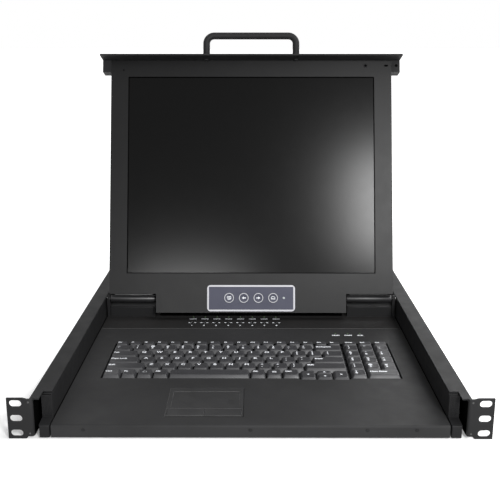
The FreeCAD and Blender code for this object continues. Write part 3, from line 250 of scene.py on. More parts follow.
WELD_DISTANCE = 0.000005
EDGE_ANGLE = math.radians(35)
EDGE_WIDTH = 0.3
FINE_EDGES = {"key": 0.5, "button": 0.4, "silver": 0.5, "plastic": 0.4, "bright": 0.1}


def dress_nodes():
    """Give every CAD node its material and a small rounding of its edges."""
    for look, names in NODE_LOOKS.items():
        for name in names:
            thing = NODES[name]
            thing.data.materials.clear()
            thing.data.materials.append(LOOKS[look])
            weld = thing.modifiers.new("Weld", "WELD")
            weld.merge_threshold = WELD_DISTANCE
            edge = thing.modifiers.new("Edges", "BEVEL")
            edge.width = FINE_EDGES.get(look, EDGE_WIDTH) * MM
            edge.segments = 2
            edge.limit_method = "ANGLE"
            edge.angle_limit = EDGE_ANGLE
            edge.harden_normals = True


# ---------------------------------------------------------------- faces that carry pieces

RIGHT, LEFT = Vector((1, 0, 0)), Vector((-1, 0, 0))
REAR, FRONT, UP = Vector((0, 1, 0)), Vector((0, -1, 0)), Vector((0, 0, 1))
LID_UP = Vector((0, math.sin(LID_TILT), math.cos(LID_TILT)))
LID_BACK = Vector((0, math.cos(LID_TILT), -math.sin(LID_TILT)))

# Directions across and up an upright face that looks that way
TOWARD_FRONT, TOWARD_REAR = (RIGHT, UP), (LEFT, UP)
TOWARD_RIGHT, TOWARD_LEFT = (REAR, UP), (FRONT, UP)


def plane_matrix(origin, across, up):
    """Frame of a printed or fastened face: x across, y up, z out of the face."""
    out = across.cross(up)
    matrix = Matrix((across, up, out)).transposed().to_4x4()
    matrix.translation = origin
    return matrix


def lid_face(depth):
    """Face of the lid at a depth behind the hinge axis, in millimetres."""
    return plane_matrix(HINGE + LID_BACK * depth * MM, RIGHT, LID_UP)


def deck_face(level):
    """Level face that looks up, at a height in metres."""
    return plane_matrix(Vector((0, 0, level)), RIGHT, REAR)


def low_corner(node):
    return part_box(node)[0]


def high_corner(node):
    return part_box(node)[1]


def spot(face, x, y, rise=0.0):
    """The face's frame moved to a place on it, in millimetres."""
    return face @ Matrix.Translation(Vector((x, y, rise)) * MM)


def placed(face, points, rise):
    """Points of an outline on a face, all at one height above it, in millimetres."""
    return [face @ (Vector((x, y, rise)) * MM) for x, y in points]


# ---------------------------------------------------------------- mesh helpers

PRINT_RISE = 0.05


def add_piece(name, bm, look, body, replaced=(), smooth=30, edge=0.0):
    """Finish a mesh made in code: object, material, shading, body and material slot."""
    bmesh.ops.remove_doubles(bm, verts=bm.verts, dist=0.000001)
    bmesh.ops.recalc_face_normals(bm, faces=bm.faces)
    mesh = bpy.data.meshes.new(name)
    bm.to_mesh(mesh)
    bm.free()
    for polygon in mesh.polygons:
        polygon.use_smooth = True
    mesh.set_sharp_from_angle(angle=math.radians(smooth))
    mesh.materials.append(LOOKS[look])
    piece = bpy.data.objects.new(name, mesh)
    bpy.context.scene.collection.objects.link(piece)
    if edge:
        bevel = piece.modifiers.new("Edges", "BEVEL")
        bevel.width, bevel.segments, bevel.limit_method = edge * MM, 2, "ANGLE"
    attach(piece, body)
    if replaced:
        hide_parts(*replaced)
    return piece


def bridge(bm, first, second):
    """Faces between two closed rings of vertices with the same count."""
    for step in range(len(first)):
        after = (step + 1) % len(first)
        bm.faces.new((first[step], first[after], second[after], second[step]))


def loft(bm, rings, cap_start=False, cap_end=True):
    """Skin between closed rings of points with the same count."""
    rows = [[bm.verts.new(point) for point in ring] for ring in rings]
    for first, second in zip(rows, rows[1:]):
        bridge(bm, first, second)
    if cap_start:
        bm.faces.new(rows[0][::-1])
    if cap_end:
        bm.faces.new(rows[-1])
    return rows


def rounded(x, y, corner, steps=4):
    """Outline of a rounded rectangle, in millimetres."""
    points = []
    corner = min(corner, (x[1] - x[0]) / 2.01, (y[1] - y[0]) / 2.01)
    left, right, low, high = x[0] + corner, x[1] - corner, y[0] + corner, y[1] - corner
    for quarter, (cx, cy) in enumerate(((right, high), (left, high), (left, low), (right, low))):
        for step in range(steps + 1):
            angle = math.radians(90 * (quarter + step / steps))
            points.append((cx + corner * math.cos(angle), cy + corner * math.sin(angle)))
    return points


def circle(radius, count):
    angles = [math.tau * step / count for step in range(count)]
    return [(radius * math.cos(angle), radius * math.sin(angle)) for angle in angles]


def lathe(bm, profile, matrix, count=28):
    """Turn a profile of radius and height, in millimetres, about the frame's z axis."""
    rings = [placed(matrix, circle(radius, count), rise) for radius, rise in profile]
    loft(bm, rings, cap_start=True)


def lathe_ring(bm, profile, matrix, count=48):
    """Closed ring with the given cross-section."""
    rows = []
    for step in range(count):
        angle = math.tau * step / count
        section = [(radius * math.cos(angle), radius * math.sin(angle), rise)
                   for radius, rise in profile]
        rows.append([bm.verts.new(matrix @ (Vector(point) * MM)) for point in section])
    for step in range(count):
        bridge(bm, rows[step], rows[(step + 1) % count])


def flat_shape(bm, points, matrix, rise=PRINT_RISE):
    """Printed polygon, a hair above its face."""
    bm.faces.new([bm.verts.new(corner) for corner in placed(matrix, points, rise)])


def stroke(bm, points, width, matrix, rise=PRINT_RISE):
    """Printed line of constant width along straight runs."""
    for (x0, y0), (x1, y1) in zip(points, points[1:]):
        length = math.hypot(x1 - x0, y1 - y0) or 1
        ux, uy = (x1 - x0) / length * width / 2, (y1 - y0) / length * width / 2
        flat_shape(bm, [(x0 - ux + uy, y0 - uy - ux), (x1 + ux + uy, y1 + uy - ux),
                        (x1 + ux - uy, y1 + uy + ux), (x0 - ux - uy, y0 - uy + ux)], matrix, rise)


def arc(centre, radius, start, end, count=16):
    """Points of an arc from one angle to another, in degrees."""
    angles = [math.radians(start + (end - start) * step / count) for step in range(count + 1)]
    return [(centre[0] + radius * math.cos(a), centre[1] + radius * math.sin(a)) for a in angles]


def write(bm, text, place, size, matrix, align="CENTER", bold=0.0):
    """Printed letters, taken from the built-in typeface as a flat mesh."""
    data = bpy.data.curves.new("text", "FONT")
    data.body, data.size = text, size * MM
    data.align_x, data.align_y = align, "CENTER"
    data.resolution_u, data.offset = 3, bold * MM
    holder = bpy.data.objects.new("text", data)
    mesh = bpy.data.meshes.new_from_object(holder)
    mesh.transform(spot(matrix, *place, PRINT_RISE))
    bm.from_mesh(mesh)
    bpy.data.meshes.remove(mesh)
    bpy.data.objects.remove(holder)
    bpy.data.curves.remove(data)


HEAD_PROFILE = ((1, 0), (1, 0.35), (0.9, 0.8), (0.7, 1))
RIVET_PROFILE = ((1, 0), (0.97, 0.3), (0.8, 0.72), (0.45, 0.96), (0.1, 1))
CROSS_ARM, CROSS_HALF, CROSS_FLOOR, CROSS_SINK = 0.52, 0.14, 0.8, 0.2


def screw_head(bm, matrix, radius, rise):
    """Pan head with a sunk cross, in millimetres, standing on the face."""
    count = 24
    rows = loft(bm, [placed(matrix, circle(radius * part, count), rise * level)
                     for part, level in HEAD_PROFILE], cap_end=False)
    arm, slim = radius * CROSS_ARM, radius * CROSS_HALF
    cross, quarter = [], [(slim, arm), (-slim, arm), (-slim, slim)]
    for _ in range(4):
        cross += quarter
        quarter = [(-y, x) for x, y in quarter]
    floor = [(x * CROSS_FLOOR, y * CROSS_FLOOR) for x, y in cross]
    top = [bm.verts.new(point) for point in placed(matrix, cross, rise)]
    low = [bm.verts.new(point) for point in placed(matrix, floor, rise * CROSS_SINK)]
    edges = [bm.edges.get((rows[-1][step], rows[-1][(step + 1) % count])) for step in range(count)]
    for step in range(len(cross)):
        after = (step + 1) % len(cross)
        edges.append(bm.edges.new((top[step], top[after])))
        bm.faces.new((top[step], top[after], low[after], low[step]))
    bmesh.ops.triangle_fill(bm, use_beauty=True, edges=edges)
    bm.faces.new(low)


def rivet(bm, matrix, radius, rise):
    lathe(bm, [(radius * part, rise * level) for part, level in RIVET_PROFILE], matrix, 24)


def disc(bm, matrix, radius, rise=PRINT_RISE, count=24):
    flat_shape(bm, arc((0, 0), radius, 0, 360 * (1 - 1 / count), count - 1), matrix, rise)


# ---------------------------------------------------------------- keyboard

PITCH, ROW_PITCH, KEY_GAP = 18.85, 19.05, 0.9
KEYS_FRONT, KEYS_LEFT, PAD_LEFT = 114.4, -169.85, 114.9
MAIN_UNITS, LETTER_UNITS = 15, 0.99
FUNCTION_DEPTH, TOP_ROW = 12.7, 5
ARROW_DROP, ARROW_REACH = 1.6, 3.4
KEY_FOOT, KEY_RISE = 12.2, 17.5

# A cap from its foot up: share of its height and taper, then inset, corner radius and sink
CAP_PROFILE = ((0, 0, 0.7, 0), (0.06, 0, 0.7, 0), (0.90, 0, 1.3, 0), (0.97, 0.15, 1.6, 0),
               (1, 0.55, 1.8, 0), (1, 1.3, 2.2, 0.10), (1, 2.9, 2.2, 0.22))
CAP_TAPER, CAP_BACK_TAPER, CAP_LEAST = 2.2, 0.9, 1.2

LEGEND_INSET, LEGEND_DROP, LEGEND_SINK = 4.0, 3.6, 0.06
LETTER_SIZE, SIGN_SIZE, WORD_SIZE, SMALL_SIZE, LEGEND_BOLD = 6.8, 5.0, 4.4, 3.6, 0.2
LOW_KEY = 15
ARROW_RADIUS, MARK_RADIUS, MENU_HALF = 1.92, 2.08, 2.2
ARROW_TURNS = {"right": 0, "up": 90, "left": 180, "down": 270}

FUNCTION_SIGNS = "Esc F1 F2 F3 F4 F5 F6 F7 F8 F9 F10 F11 F12 Prt Scr Brk Ins".split()


def letters(signs):
    return [(LETTER_UNITS, sign) for sign in signs]


# Width in key units and sign of each key, from the left, and no sign on the space bar
MAIN_KEYS = {
    "bottom_row_keys": [(1.13, "Ctrl"), (0.94, "Fn"), (0.98, "mark"), (0.98, "Alt"), (4.95, None),
                        (0.97, "Alt"), (0.98, "menu"), (1.07, "Ctrl"), (1, "left"), (1, "up down"),
                        (1, "right")],
    "shift_row_keys": [(2.45, "Shift"), *letters("ZXCVBNM,./"), (2.65, "Shift")],
    "home_row_keys": [(2, "Caps Lock"), *letters("ASDFGHJKL;'"), (2.11, "Enter")],
    "tab_row_keys": [(1.75, "Tab"), *letters("QWERTYUIOP[]"), (1.37, "\\")],
    "number_row_keys": [(1.24, "`"), *letters("1234567890-="), (1.88, "Backspace")],
    "function_row_keys": [(MAIN_UNITS / len(FUNCTION_SIGNS), sign) for sign in FUNCTION_SIGNS],
}
SHIFTED = dict(zip("`1234567890-=[];',./\\", "~!@#$%^&*()_+{}:\"<>?|"))
PAD_ROWS = [["0", "Num Enter"], ["1", "2", "3"], ["4", "5", "6"], ["7", "8", "9"], ["/", "*", "-"],
            ["Home", "End", "Del"]]


def row_depth(row):
    """Front and back of a row of keys, counted from the front."""
    front = KEYS_FRONT + row * ROW_PITCH
    return front, front + (FUNCTION_DEPTH if row == TOP_ROW else ROW_PITCH)


def keycap(bm, x, y, drop=0.0):
    """Cap with rounded corners, sloping sides, a soft lip and a dished top."""
    x = (x[0] + KEY_GAP / 2, x[1] - KEY_GAP / 2)
    y = (y[0] + KEY_GAP / 2, y[1] - KEY_GAP / 2)
    top = KEY_RISE - drop
    rings = []
    for part, inset, corner, sink in CAP_PROFILE:
        side, back = CAP_TAPER * part, CAP_BACK_TAPER * part
        spans = [(x[0] + side + inset, x[1] - side - inset),
                 (y[0] + side + inset, y[1] - back - inset)]
        for index, (low, high) in enumerate(spans):
            if high - low < CAP_LEAST:
                middle = (low + high) / 2
                spans[index] = (middle - CAP_LEAST / 2, middle + CAP_LEAST / 2)
        level = height(KEY_FOOT + (top - KEY_FOOT) * part - sink)
        rings.append([Vector((px * MM, py * MM, level)) for px, py in rounded(*spans, corner)])
    loft(bm, rings, cap_start=True)


def legend(bm, sign, x, y, drop=0.0):
    """White print of one key, at its upper left as on most boards."""
    face = deck_face(height(KEY_RISE - drop - LEGEND_SINK))
    left, top = x[0] + LEGEND_INSET, y[1] - LEGEND_DROP
    middle = ((x[0] + x[1]) / 2, (y[0] + y[1]) / 2)
    if sign in ARROW_TURNS:
        turn = ARROW_TURNS[sign]
        flat_shape(bm, arc(middle, ARROW_RADIUS, turn, turn + 240, 2), face)
    elif sign == "menu":
        for step in (-1.5, -0.5, 0.5, 1.5):
            level = middle[1] + 1.5 + step
            stroke(bm, [(middle[0] - MENU_HALF, level), (middle[0] + MENU_HALF, level)], 0.55, face)
    elif sign == "mark":
        stroke(bm, arc((middle[0], middle[1] + 1.2), MARK_RADIUS, 0, 360, 12), 0.9, face)
    elif sign in SHIFTED:
        for text, sink in ((SHIFTED[sign], 1.6), (sign, 7.0)):
            write(bm, text, (left + 2.2, top - sink), SIGN_SIZE, face, bold=LEGEND_BOLD)
    elif len(sign) == 1:
        write(bm, sign, (left + 3.0, top - 2.0), LETTER_SIZE, face, bold=LEGEND_BOLD)
    else:
        size, sink = (SMALL_SIZE, 0.6) if y[1] - y[0] < LOW_KEY else (WORD_SIZE, 3.0)
        write(bm, sign, (left - 0.8, top - sink), size, face, "LEFT", LEGEND_BOLD)


def arrow_pair(caps, prints, x, depth):
    """The two half-deep arrow keys, down in front of up."""
    middle = (depth[0] + depth[1]) / 2
    for part, way in (((depth[0] - ARROW_REACH, middle), "down"), ((middle, depth[1]), "up")):
        keycap(caps, x, part, ARROW_DROP)
        legend(prints, way, x, part, ARROW_DROP)


def space_bar(x, depth):
    space = bmesh.new()
    keycap(space, x, depth)
    add_piece("space_bar_cap", space, "key", "space_bar", ["space_bar"])


def main_keys():
    """Rows of the main block, front row first."""
    for row, (node, keys) in enumerate(MAIN_KEYS.items()):
        caps, prints = bmesh.new(), bmesh.new()
        left, depth = KEYS_LEFT, row_depth(row)
        for width, sign in keys:
            x = (left, left + width * PITCH)
            if sign is None:
                space_bar(x, depth)
            elif sign == "up down":
                arrow_pair(caps, prints, x, depth)
            else:
                arrow = sign in ARROW_TURNS
                drop, reach = (ARROW_DROP, ARROW_REACH) if arrow else (0, 0)
                keycap(caps, x, (depth[0] - reach, depth[1]), drop)
                legend(prints, sign, x, (depth[0] - reach, depth[1]), drop)
            left = x[1]
        add_piece(f"{node}_caps", caps, "key", node, [node])
        add_piece(f"{node}_print", prints, "print", node)


def number_pad():
    caps, prints = bmesh.new(), bmesh.new()
    for row, signs in enumerate(PAD_ROWS):
        left = PAD_LEFT
        for sign in signs:
            x = (left, left + (2 if sign == "Num Enter" else 1) * PITCH)
            keycap(caps, x, row_depth(row))
            legend(prints, sign, x, row_depth(row))
            left = x[1]
    add_piece("number_pad_caps", caps, "key", "number_pad_keys", ["number_pad_keys"])
    add_piece("number_pad_print", prints, "print", "number_pad_keys")


# ---------------------------------------------------------------- panel below the screen

BUTTON_PLACES, BUTTON_LEVEL, BUTTON_RADIUS = (-30, -10, 10, 30), 1.2, 6.6
PANEL_DEPTH, SIGN_RISE = -15.9, -0.12

# How far in from the button's radius, and how high, each ring of the cap and of its rim is
CAP_RINGS = ((0.1, -1.8), (0.1, -0.5), (0.9, -0.16), (1.4, -0.2), (3.2, -0.42), (6.1, -0.5))
RIM_RINGS = ((0, -0.9), (0, -0.15), (0.25, 0), (0.8, 0), (1.05, -0.2), (1.05, -0.9))


def screen_sign(bm, face):
    """A screen with two lines of text on a foot."""
    outline = [(-2.5, 2.0), (2.5, 2.0), (2.5, -1.2), (-2.5, -1.2), (-2.5, 2.3)]
    stroke(bm, outline, 0.6, face, SIGN_RISE)
    for level in (-0.1, 0.9):
        stroke(bm, [(-1.4, level), (1.4, level)], 0.45, face, SIGN_RISE)
    stroke(bm, [(-1.6, -2.3), (1.6, -2.3)], 0.55, face, SIGN_RISE)


def arrow_sign(bm, face, side):
    """An arrow toward -x or +x."""
    head = [(side * 2.4, 0), (-side * 0.2, 1.9), (-side * 0.2, -1.9)]
    flat_shape(bm, head[::side], face, SIGN_RISE)
    stroke(bm, [(-side * 2.4, 0), (0, 0)], 1.1, face, SIGN_RISE)


def menu_sign(bm, face):
    """A box with cut corners and two lines."""
    outline = [(-2.6, -1.7), (-2.6, 0.2), (-1.5, 1.9), (1.5, 1.9), (2.6, 0.2), (2.6, -1.7)]
    stroke(bm, outline, 0.6, face, SIGN_RISE)
    for level in (-0.6, -1.7):
        stroke(bm, [(-2.6, level), (2.6, level)], 0.5, face, SIGN_RISE)


def panel_buttons():
    """Dished round caps with a pale ring and a printed sign each."""
    for number, x in enumerate(BUTTON_PLACES, start=1):
        node = f"panel_button_{number}"
        face = spot(lid_face(PANEL_DEPTH), x, BUTTON_LEVEL)
        cap, rim, sign = bmesh.new(), bmesh.new(), bmesh.new()
        lathe(cap, [(BUTTON_RADIUS - inset, rise) for inset, rise in CAP_RINGS], face, 48)
        add_piece(f"{node}_cap", cap, "button", node, [node])
        lathe_ring(rim, [(BUTTON_RADIUS - inset, rise) for inset, rise in RIM_RINGS], face)
        add_piece(f"{node}_rim", rim, "silver", node)
        if number == 1:
            screen_sign(sign, face)
        elif number == 4:
            menu_sign(sign, face)
        else:
            arrow_sign(sign, face, -1 if number == 2 else 1)
        add_piece(f"{node}_sign", sign, "print", node)


# ---------------------------------------------------------------- small fasteners

SIDES = (-1, 1)
COVER_SCREW_X, COVER_INNER_X, COVER_MARGIN = 191, 64, 8
LID_BACK_DEPTH, LID_SCREW_X, LID_SCREW_LEVELS, LID_TOP_X = 3.8, 181, (14, 118, 222, 319), 60
HANDLE_LEVEL, HANDLE_SCREW_X, HANDLE_SCREW_DROP = 330, 61.8, 17.45
SLIDE_SCREWS = (75, 203, 331, 459, 572)
EAR_RIVET_X, EAR_RIVET_LEVELS = 219.6, (17.2, -16.4)
LEG_INSIDE, LEG_RIVET_Y, LEG_RIVET_LEVEL = 215.9, 30, 7.94
FRONT_SCREWS, FRONT_SCREW_LEVEL = (-166.5, 0, 116.6, 165.8), -12.2
INLET_INSET, INLET_SCREWS, INLET_LEVEL = 36, (125.4, 152.3), 0.175


def fasten(name, places, maker, size, look, body):
    """One piece that holds every fastener of a kind, of one radius and rise, on one body."""
    bm = bmesh.new()
    for matrix in places:
        maker(bm, matrix, *size)
    add_piece(name, bm, look, body, smooth=40)


def cover_screws():
    face = deck_face(high_corner("console_cover")[2])
    front, back = low_corner("console_case")[1] / MM, high_corner("console_case")[1] / MM
    ends = (front + COVER_MARGIN, back - COVER_MARGIN)
    edge_rows = (ends[0], (front + back) / 2, ends[1])
    places = [(side * COVER_SCREW_X, y) for side in SIDES for y in edge_rows]
    places += [(side * COVER_INNER_X, y) for side in SIDES for y in ends]
    fasten("cover_screws", [spot(face, *place) for place in places], screw_head, (2.9, 0.9),
           "coat", "drawer")


def lid_screws():
    face = plane_matrix(HINGE + LID_BACK * LID_BACK_DEPTH * MM, LEFT, LID_UP)
    places = [(side * LID_SCREW_X, level) for side in SIDES for level in LID_SCREW_LEVELS]
    places += [(side * LID_TOP_X, LID_SCREW_LEVELS[-1]) for side in SIDES]
    fasten("lid_screws", [spot(face, *place) for place in places], screw_head, (2.6, 0.7),
           "coat", "lid")


def handle_screws():
    face = plane_matrix(HINGE + LID_UP * HANDLE_LEVEL * MM, RIGHT, -LID_BACK)
    places = [spot(face, side * HANDLE_SCREW_X, HANDLE_SCREW_DROP) for side in SIDES]
    fasten("handle_screws", places, screw_head, (3.6, 1.6), "coat", "lid")


def slide_screws():
    wall = high_corner("chassis_channel")[0]
    places = []
    for side, facing in ((1, TOWARD_RIGHT), (-1, TOWARD_LEFT)):
        face = plane_matrix(Vector((side * wall, 0, 0)), *facing)
        places += [spot(face, side * y, 0) for y in SLIDE_SCREWS]
    fasten("slide_screws", places, screw_head, (3.1, 1.1), "bright", "chassis")


def ear_rivets():
    face = plane_matrix(Vector((0, low_corner("rack_ear_left")[1], 0)), *TOWARD_FRONT)
    places = [spot(face, side * EAR_RIVET_X, level) for side in SIDES for level in EAR_RIVET_LEVELS]
    fasten("ear_face_rivets", places, rivet, (1.0, 0.35), "dull", "chassis")
    for side, name, facing in ((1, "right", TOWARD_LEFT), (-1, "left", TOWARD_RIGHT)):
        inside = plane_matrix(Vector((side * LEG_INSIDE * MM, 0, 0)), *facing)
        places = [spot(inside, -side * LEG_RIVET_Y, end * LEG_RIVET_LEVEL) for end in SIDES]
        fasten(f"ear_leg_rivets_{name}", places, rivet, (2.4, 0.9), "ear", "chassis")


def front_screws():
    face = plane_matrix(Vector((0, low_corner("keyboard_deck")[1], 0)), *TOWARD_FRONT)
    places = [spot(face, x, FRONT_SCREW_LEVEL) for x in FRONT_SCREWS]
    fasten("front_screws", places, screw_head, (2.0, 0.35), "coat", "drawer")


def inlet_screws():
    back = high_corner("chassis_channel")[1] - INLET_INSET * MM
    face = plane_matrix(Vector((0, back, 0)), *TOWARD_REAR)
    places = [spot(face, -x, INLET_LEVEL, 1.5) for x in INLET_SCREWS]
    fasten("inlet_screws", places, screw_head, (1.6, 0.8), "bright", "drawer")


# ---------------------------------------------------------------- lid top strip and screen border

STRIP_LEVEL, STRIP_DEPTH = 322.4, -15
SCREW_HOLE, LATCH_HOLE, PIN_HOLE = (158.1, 1.7), (200.6, 2.1), (-176.6, 316, 1.1)
SLOT_ENDS, SLOT_RADIUS = (185, 188.2), 1.3
BORDER_INSIDE = ((-168.9, 168.9), (35.6, 305.7), 0.3)
BORDER_OUTSIDE = ((-170, 170), (34.6, 306.8), 0.8)


def lid_details():
    """Painted shade in the holes of the strip above the screen and the rims of those holes, and a band
    of painted shade around the screen window.
    """
    face = lid_face(STRIP_DEPTH)
    # Painted shade: black discs and a slot outline where the strip's holes are
    holes = bmesh.new()
    disc(holes, spot(face, SCREW_HOLE[0], STRIP_LEVEL), SCREW_HOLE[1])
    disc(holes, spot(face, PIN_HOLE[0], PIN_HOLE[1]), PIN_HOLE[2])
    slot = arc((SLOT_ENDS[0], STRIP_LEVEL), SLOT_RADIUS, 90, 270, 8)
    slot += arc((SLOT_ENDS[1], STRIP_LEVEL), SLOT_RADIUS, -90, 90, 8)
    flat_shape(holes, slot, face)
    disc(holes, spot(face, LATCH_HOLE[0], STRIP_LEVEL), LATCH_HOLE[1])
    add_piece("lid_hole_shade", holes, "painted_shade", "lid")

    rims = bmesh.new()
    for x, radius in (SCREW_HOLE, LATCH_HOLE):
        section = [(radius, 0), (radius, 0.35), (radius + 1.3, 0.35), (radius + 1.6, 0)]
        lathe_ring(rims, section, spot(face, x, STRIP_LEVEL), 32)
    add_piece("lid_rims", rims, "plastic", "lid")

    # Painted shade: a thin black band along the inner edge of the screen border
    border_shade = bmesh.new()
    loft(border_shade, [placed(face, rounded(*border), 0.04) for border in (BORDER_OUTSIDE, BORDER_INSIDE)],
         cap_end=False)
    add_piece("screen_border", border_shade, "painted_shade", "lid")


# ---------------------------------------------------------------- prints on the decks

PORT_COUNT, PORT_LEFT, PORT_PITCH = 8, -79.6, 16.25
ONLINE_Y, DASH_Y, NUMBER_Y, LENS_Y = 313.8, 299, 288.2, 322
LOCKS, LOCK_Y, LOCK_LENS_Y = ((110.1, "NUM"), (126.0, "CAPS"), (141.8, "SCR")), 250.8, 257.4


def port_prints():
    """Lens, word, dashed ring and number of each port, on the plate under the lid."""
    face = deck_face(high_corner("control_deck")[2])
    marks, lenses = bmesh.new(), bmesh.new()
    for port in range(PORT_COUNT):
        x = PORT_LEFT + PORT_PITCH * port
        tall = spot(face, x, ONLINE_Y) @ Matrix.Diagonal((1, 1.7, 1, 1))
        write(marks, "ONLINE", (0, 0), 2.6, tall, bold=0.17)
        stroke(marks, arc((x, DASH_Y), 1.9, 0, 360, 16), 1.6, face)
        for side in SIDES:
            stroke(marks, [(x + side * 2.6, DASH_Y), (x + side * 4.3, DASH_Y)], 1.9, face)
        write(marks, str(port + 1), (x, NUMBER_Y), 4.6, face, bold=0.2)
        rivet(lenses, spot(face, x, LENS_Y), 1.1, 0.6)
    add_piece("port_print", marks, "print", "drawer")
    add_piece("port_lenses", lenses, "lens", "drawer")


def lock_prints():
    """Labels and lenses of the three lock lights, above the number pad."""
    face = deck_face(high_corner("keyboard_deck")[2])
    marks, lenses = bmesh.new(), bmesh.new()
    for x, label in LOCKS:
        write(marks, label, (x, LOCK_Y), 4.3, face, bold=0.24)
        rivet(lenses, spot(face, x, LOCK_LENS_Y), 1.0, 0.5)
    add_piece("lock_print", marks, "print", "drawer")
    add_piece("lock_lenses", lenses, "lens", "drawer")


# ---------------------------------------------------------------- seams, posts and ear legs

SEAM_PLAY, SEAM_FRONT = 0.05, 16.5
# Painted shade under the lid's lower edge: span across, span in depth and corner radius, in millimetres
UNDER_LID_SHADE = ((-127, 127), (327.6, 346.5), 3)


def deck_edges():
    """Painted shade: dark blocks in the seams beside the decks and a dark patch on the deck under the
    lid; painted highlight: a pale line along the control deck's front edge.
    """
    half, back = high_corner("keyboard_deck")[0] / MM, high_corner("control_deck")[1] / MM
    face = deck_face(high_corner("keyboard_deck")[2])
    seams, edge, slot = bmesh.new(), bmesh.new(), bmesh.new()
    inner, outer = half + SEAM_PLAY, low_corner("tray_side_right")[0] / MM - SEAM_PLAY
    # Painted shade: dark blocks filling the seams beside the decks
    for side in SIDES:
        outline = rounded(sorted((side * inner, side * outer)), (SEAM_FRONT, back - 1), 0.2)
        loft(seams, [placed(face, outline, rise) for rise in (-5, -0.05)], cap_start=True)
    # Painted highlight: a pale line along the control deck's front edge
    level = low_corner("control_deck")[1] / MM + 0.4
    stroke(edge, [(-half + 1, level), (half - 1, level)], 0.6, face)
    add_piece("deck_edge_highlight", edge, "edge", "drawer")
    add_piece("deck_seam_shade", seams, "painted_shade", "drawer")
    # Painted shade: a flat black patch on the deck under the lid, where its shadow falls
    flat_shape(slot, rounded(*UNDER_LID_SHADE), face)
    add_piece("under_lid_shade", slot, "painted_shade", "drawer")


POST_FACE, POST_LOW, POST_TOP, POST_SPAN = 14.6, 17, 38.6, (200.6, 210.6)
RIB_COUNT, RIB_START, RIB_PITCH = 6, 202.4, 1.35
RIB_RINGS = ((0.4, 0.0), (0.22, 0.42))
SHADOW_LOW, SHADOW_HIGH = 1.1, 1.9


def post_ribs():
    """Fine upright ribs on the two corner posts, and a painted shadow: a dark strip just above the top
    of each post.
    """
    face = plane_matrix(Vector((0, POST_FACE * MM, 0)), *TOWARD_FRONT)
    low, top = height(POST_LOW) / MM, height(POST_TOP) / MM
    for side, name in ((-1, "left"), (1, "right")):
        ribs, gap = bmesh.new(), bmesh.new()
        for step in range(RIB_COUNT):
            x = side * (RIB_START + RIB_PITCH * step)
            loft(ribs, [placed(face, rounded((x - half, x + half), (low, top), 0.1, 2), rise)
                        for half, rise in RIB_RINGS])
        add_piece(f"post_ribs_{name}", ribs, "plastic", "drawer")
        # Painted shadow: a dark strip just above the top of the post
        start, end = sorted(side * x for x in POST_SPAN)
        flat_shape(gap, [(start, top + SHADOW_LOW), (end, top + SHADOW_LOW), (end, top + SHADOW_HIGH),
                         (start, top + SHADOW_HIGH)], face, 0.1)
        add_piece(f"post_painted_shadow_{name}", gap, "painted_shade", "drawer")


def ear_shades():
    """Painted shade: black sheets on the insides of the bent ear legs, which lie in shadow."""
    for node, facing, turn in (("rack_ear_left", TOWARD_RIGHT, 1), ("rack_ear_right", TOWARD_LEFT, -1)):
        leg = high_corner(node)[0] if turn > 0 else low_corner(node)[0]
        inside = plane_matrix(Vector((leg, 0, 0)), *facing)
        shade = bmesh.new()
        flat_shape(shade, [(turn * y, z) for y, z in ((1, -19), (33, -19), (33, 17), (1, 17))], inside)
        add_piece(f"{node}_shade", shade, "painted_shade", "chassis")


# ---------------------------------------------------------------- touchpad

FILM_LEVEL, FILM_DEPTH, FILM_THICK = 12.2, (38.9, 76.6), 0.25
FILMS = (("touch_film", (-83.0, -23.4), "pad"), ("scroll_film", (-22.8, -12.2), "key"))
RECESS_LEFT, RECESS_RIGHT, RECESS_FRONT, RECESS_BACK = -84.2, -11, 38, 77.4


def touch_surface():
    """Textured film in the touchpad's recess with its scroll strip, and painted light on the pad's
    edges: highlights on two sides and shade on the other two.
    """
    level = deck_face(height(FILM_LEVEL))
    for name, x, look in FILMS:
        film = bmesh.new()
        outline = rounded(x, FILM_DEPTH, 1.2)
        loft(film, [placed(level, outline, rise) for rise in (0, FILM_THICK)], cap_start=True)
        add_piece(name, film, look, "drawer", edge=0.08)
    x0, y0 = (value / MM for value in low_corner("touchpad")[:2])
    x1, y1 = (value / MM for value in high_corner("touchpad")[:2])
    face = deck_face(high_corner("keyboard_deck")[2] + 0.02 * MM)
    # Painted light: pale strokes as highlights on the left and rear edges, dark strokes as shade on the
    # front and right edges
    pale, dark = bmesh.new(), bmesh.new()
    stroke(pale, [(x0, y0), (x0, y1), (x1, y1)], 0.7, face)
    stroke(pale, [(RECESS_LEFT, RECESS_FRONT), (RECESS_LEFT, RECESS_BACK),
                  (RECESS_RIGHT, RECESS_BACK)], 0.6, face)
    stroke(dark, [(x0, y0 - 0.3), (x1 + 0.3, y0 - 0.3), (x1 + 0.3, y1)], 0.6, face)
    stroke(dark, [(RECESS_RIGHT + 0.1, RECESS_FRONT + 0.4), (RECESS_RIGHT + 0.1, RECESS_BACK - 0.4)],
           1.3, face)
    add_piece("touch_painted_highlights", pale, "edge", "drawer")
    add_piece("touch_painted_shade", dark, "painted_shade", "drawer")


# ---------------------------------------------------------------- rear sockets and power inlet

PLATE_HALF, PLATE_RISE, PLATE_THICK = 15.4, 6.2, 0.8
SOCKET_LEVEL, NUMBER_RISE, SHELL_ROUND = 16.5, 9.6, 1.3
SHELL_OUTSIDE, SHELL_INSIDE, BLOCK_SHAPE = (8.1, 3.9, 1.6), (7.6, 3.4, 1.5), (7.3, 3.1, 1.4)
SHELL_DEPTH, BLOCK_DEPTH = 6, 5.2
CONTACT_PITCH, CONTACT_ROW, CONTACT_SHIFT = 2.29, 1.98, 0.6
NUT_X, NUT_PROFILE = 12.5, [(2.8, 0.8), (2.8, 4.8), (2.5, 5.1), (1.4, 5.1), (1.4, 2)]


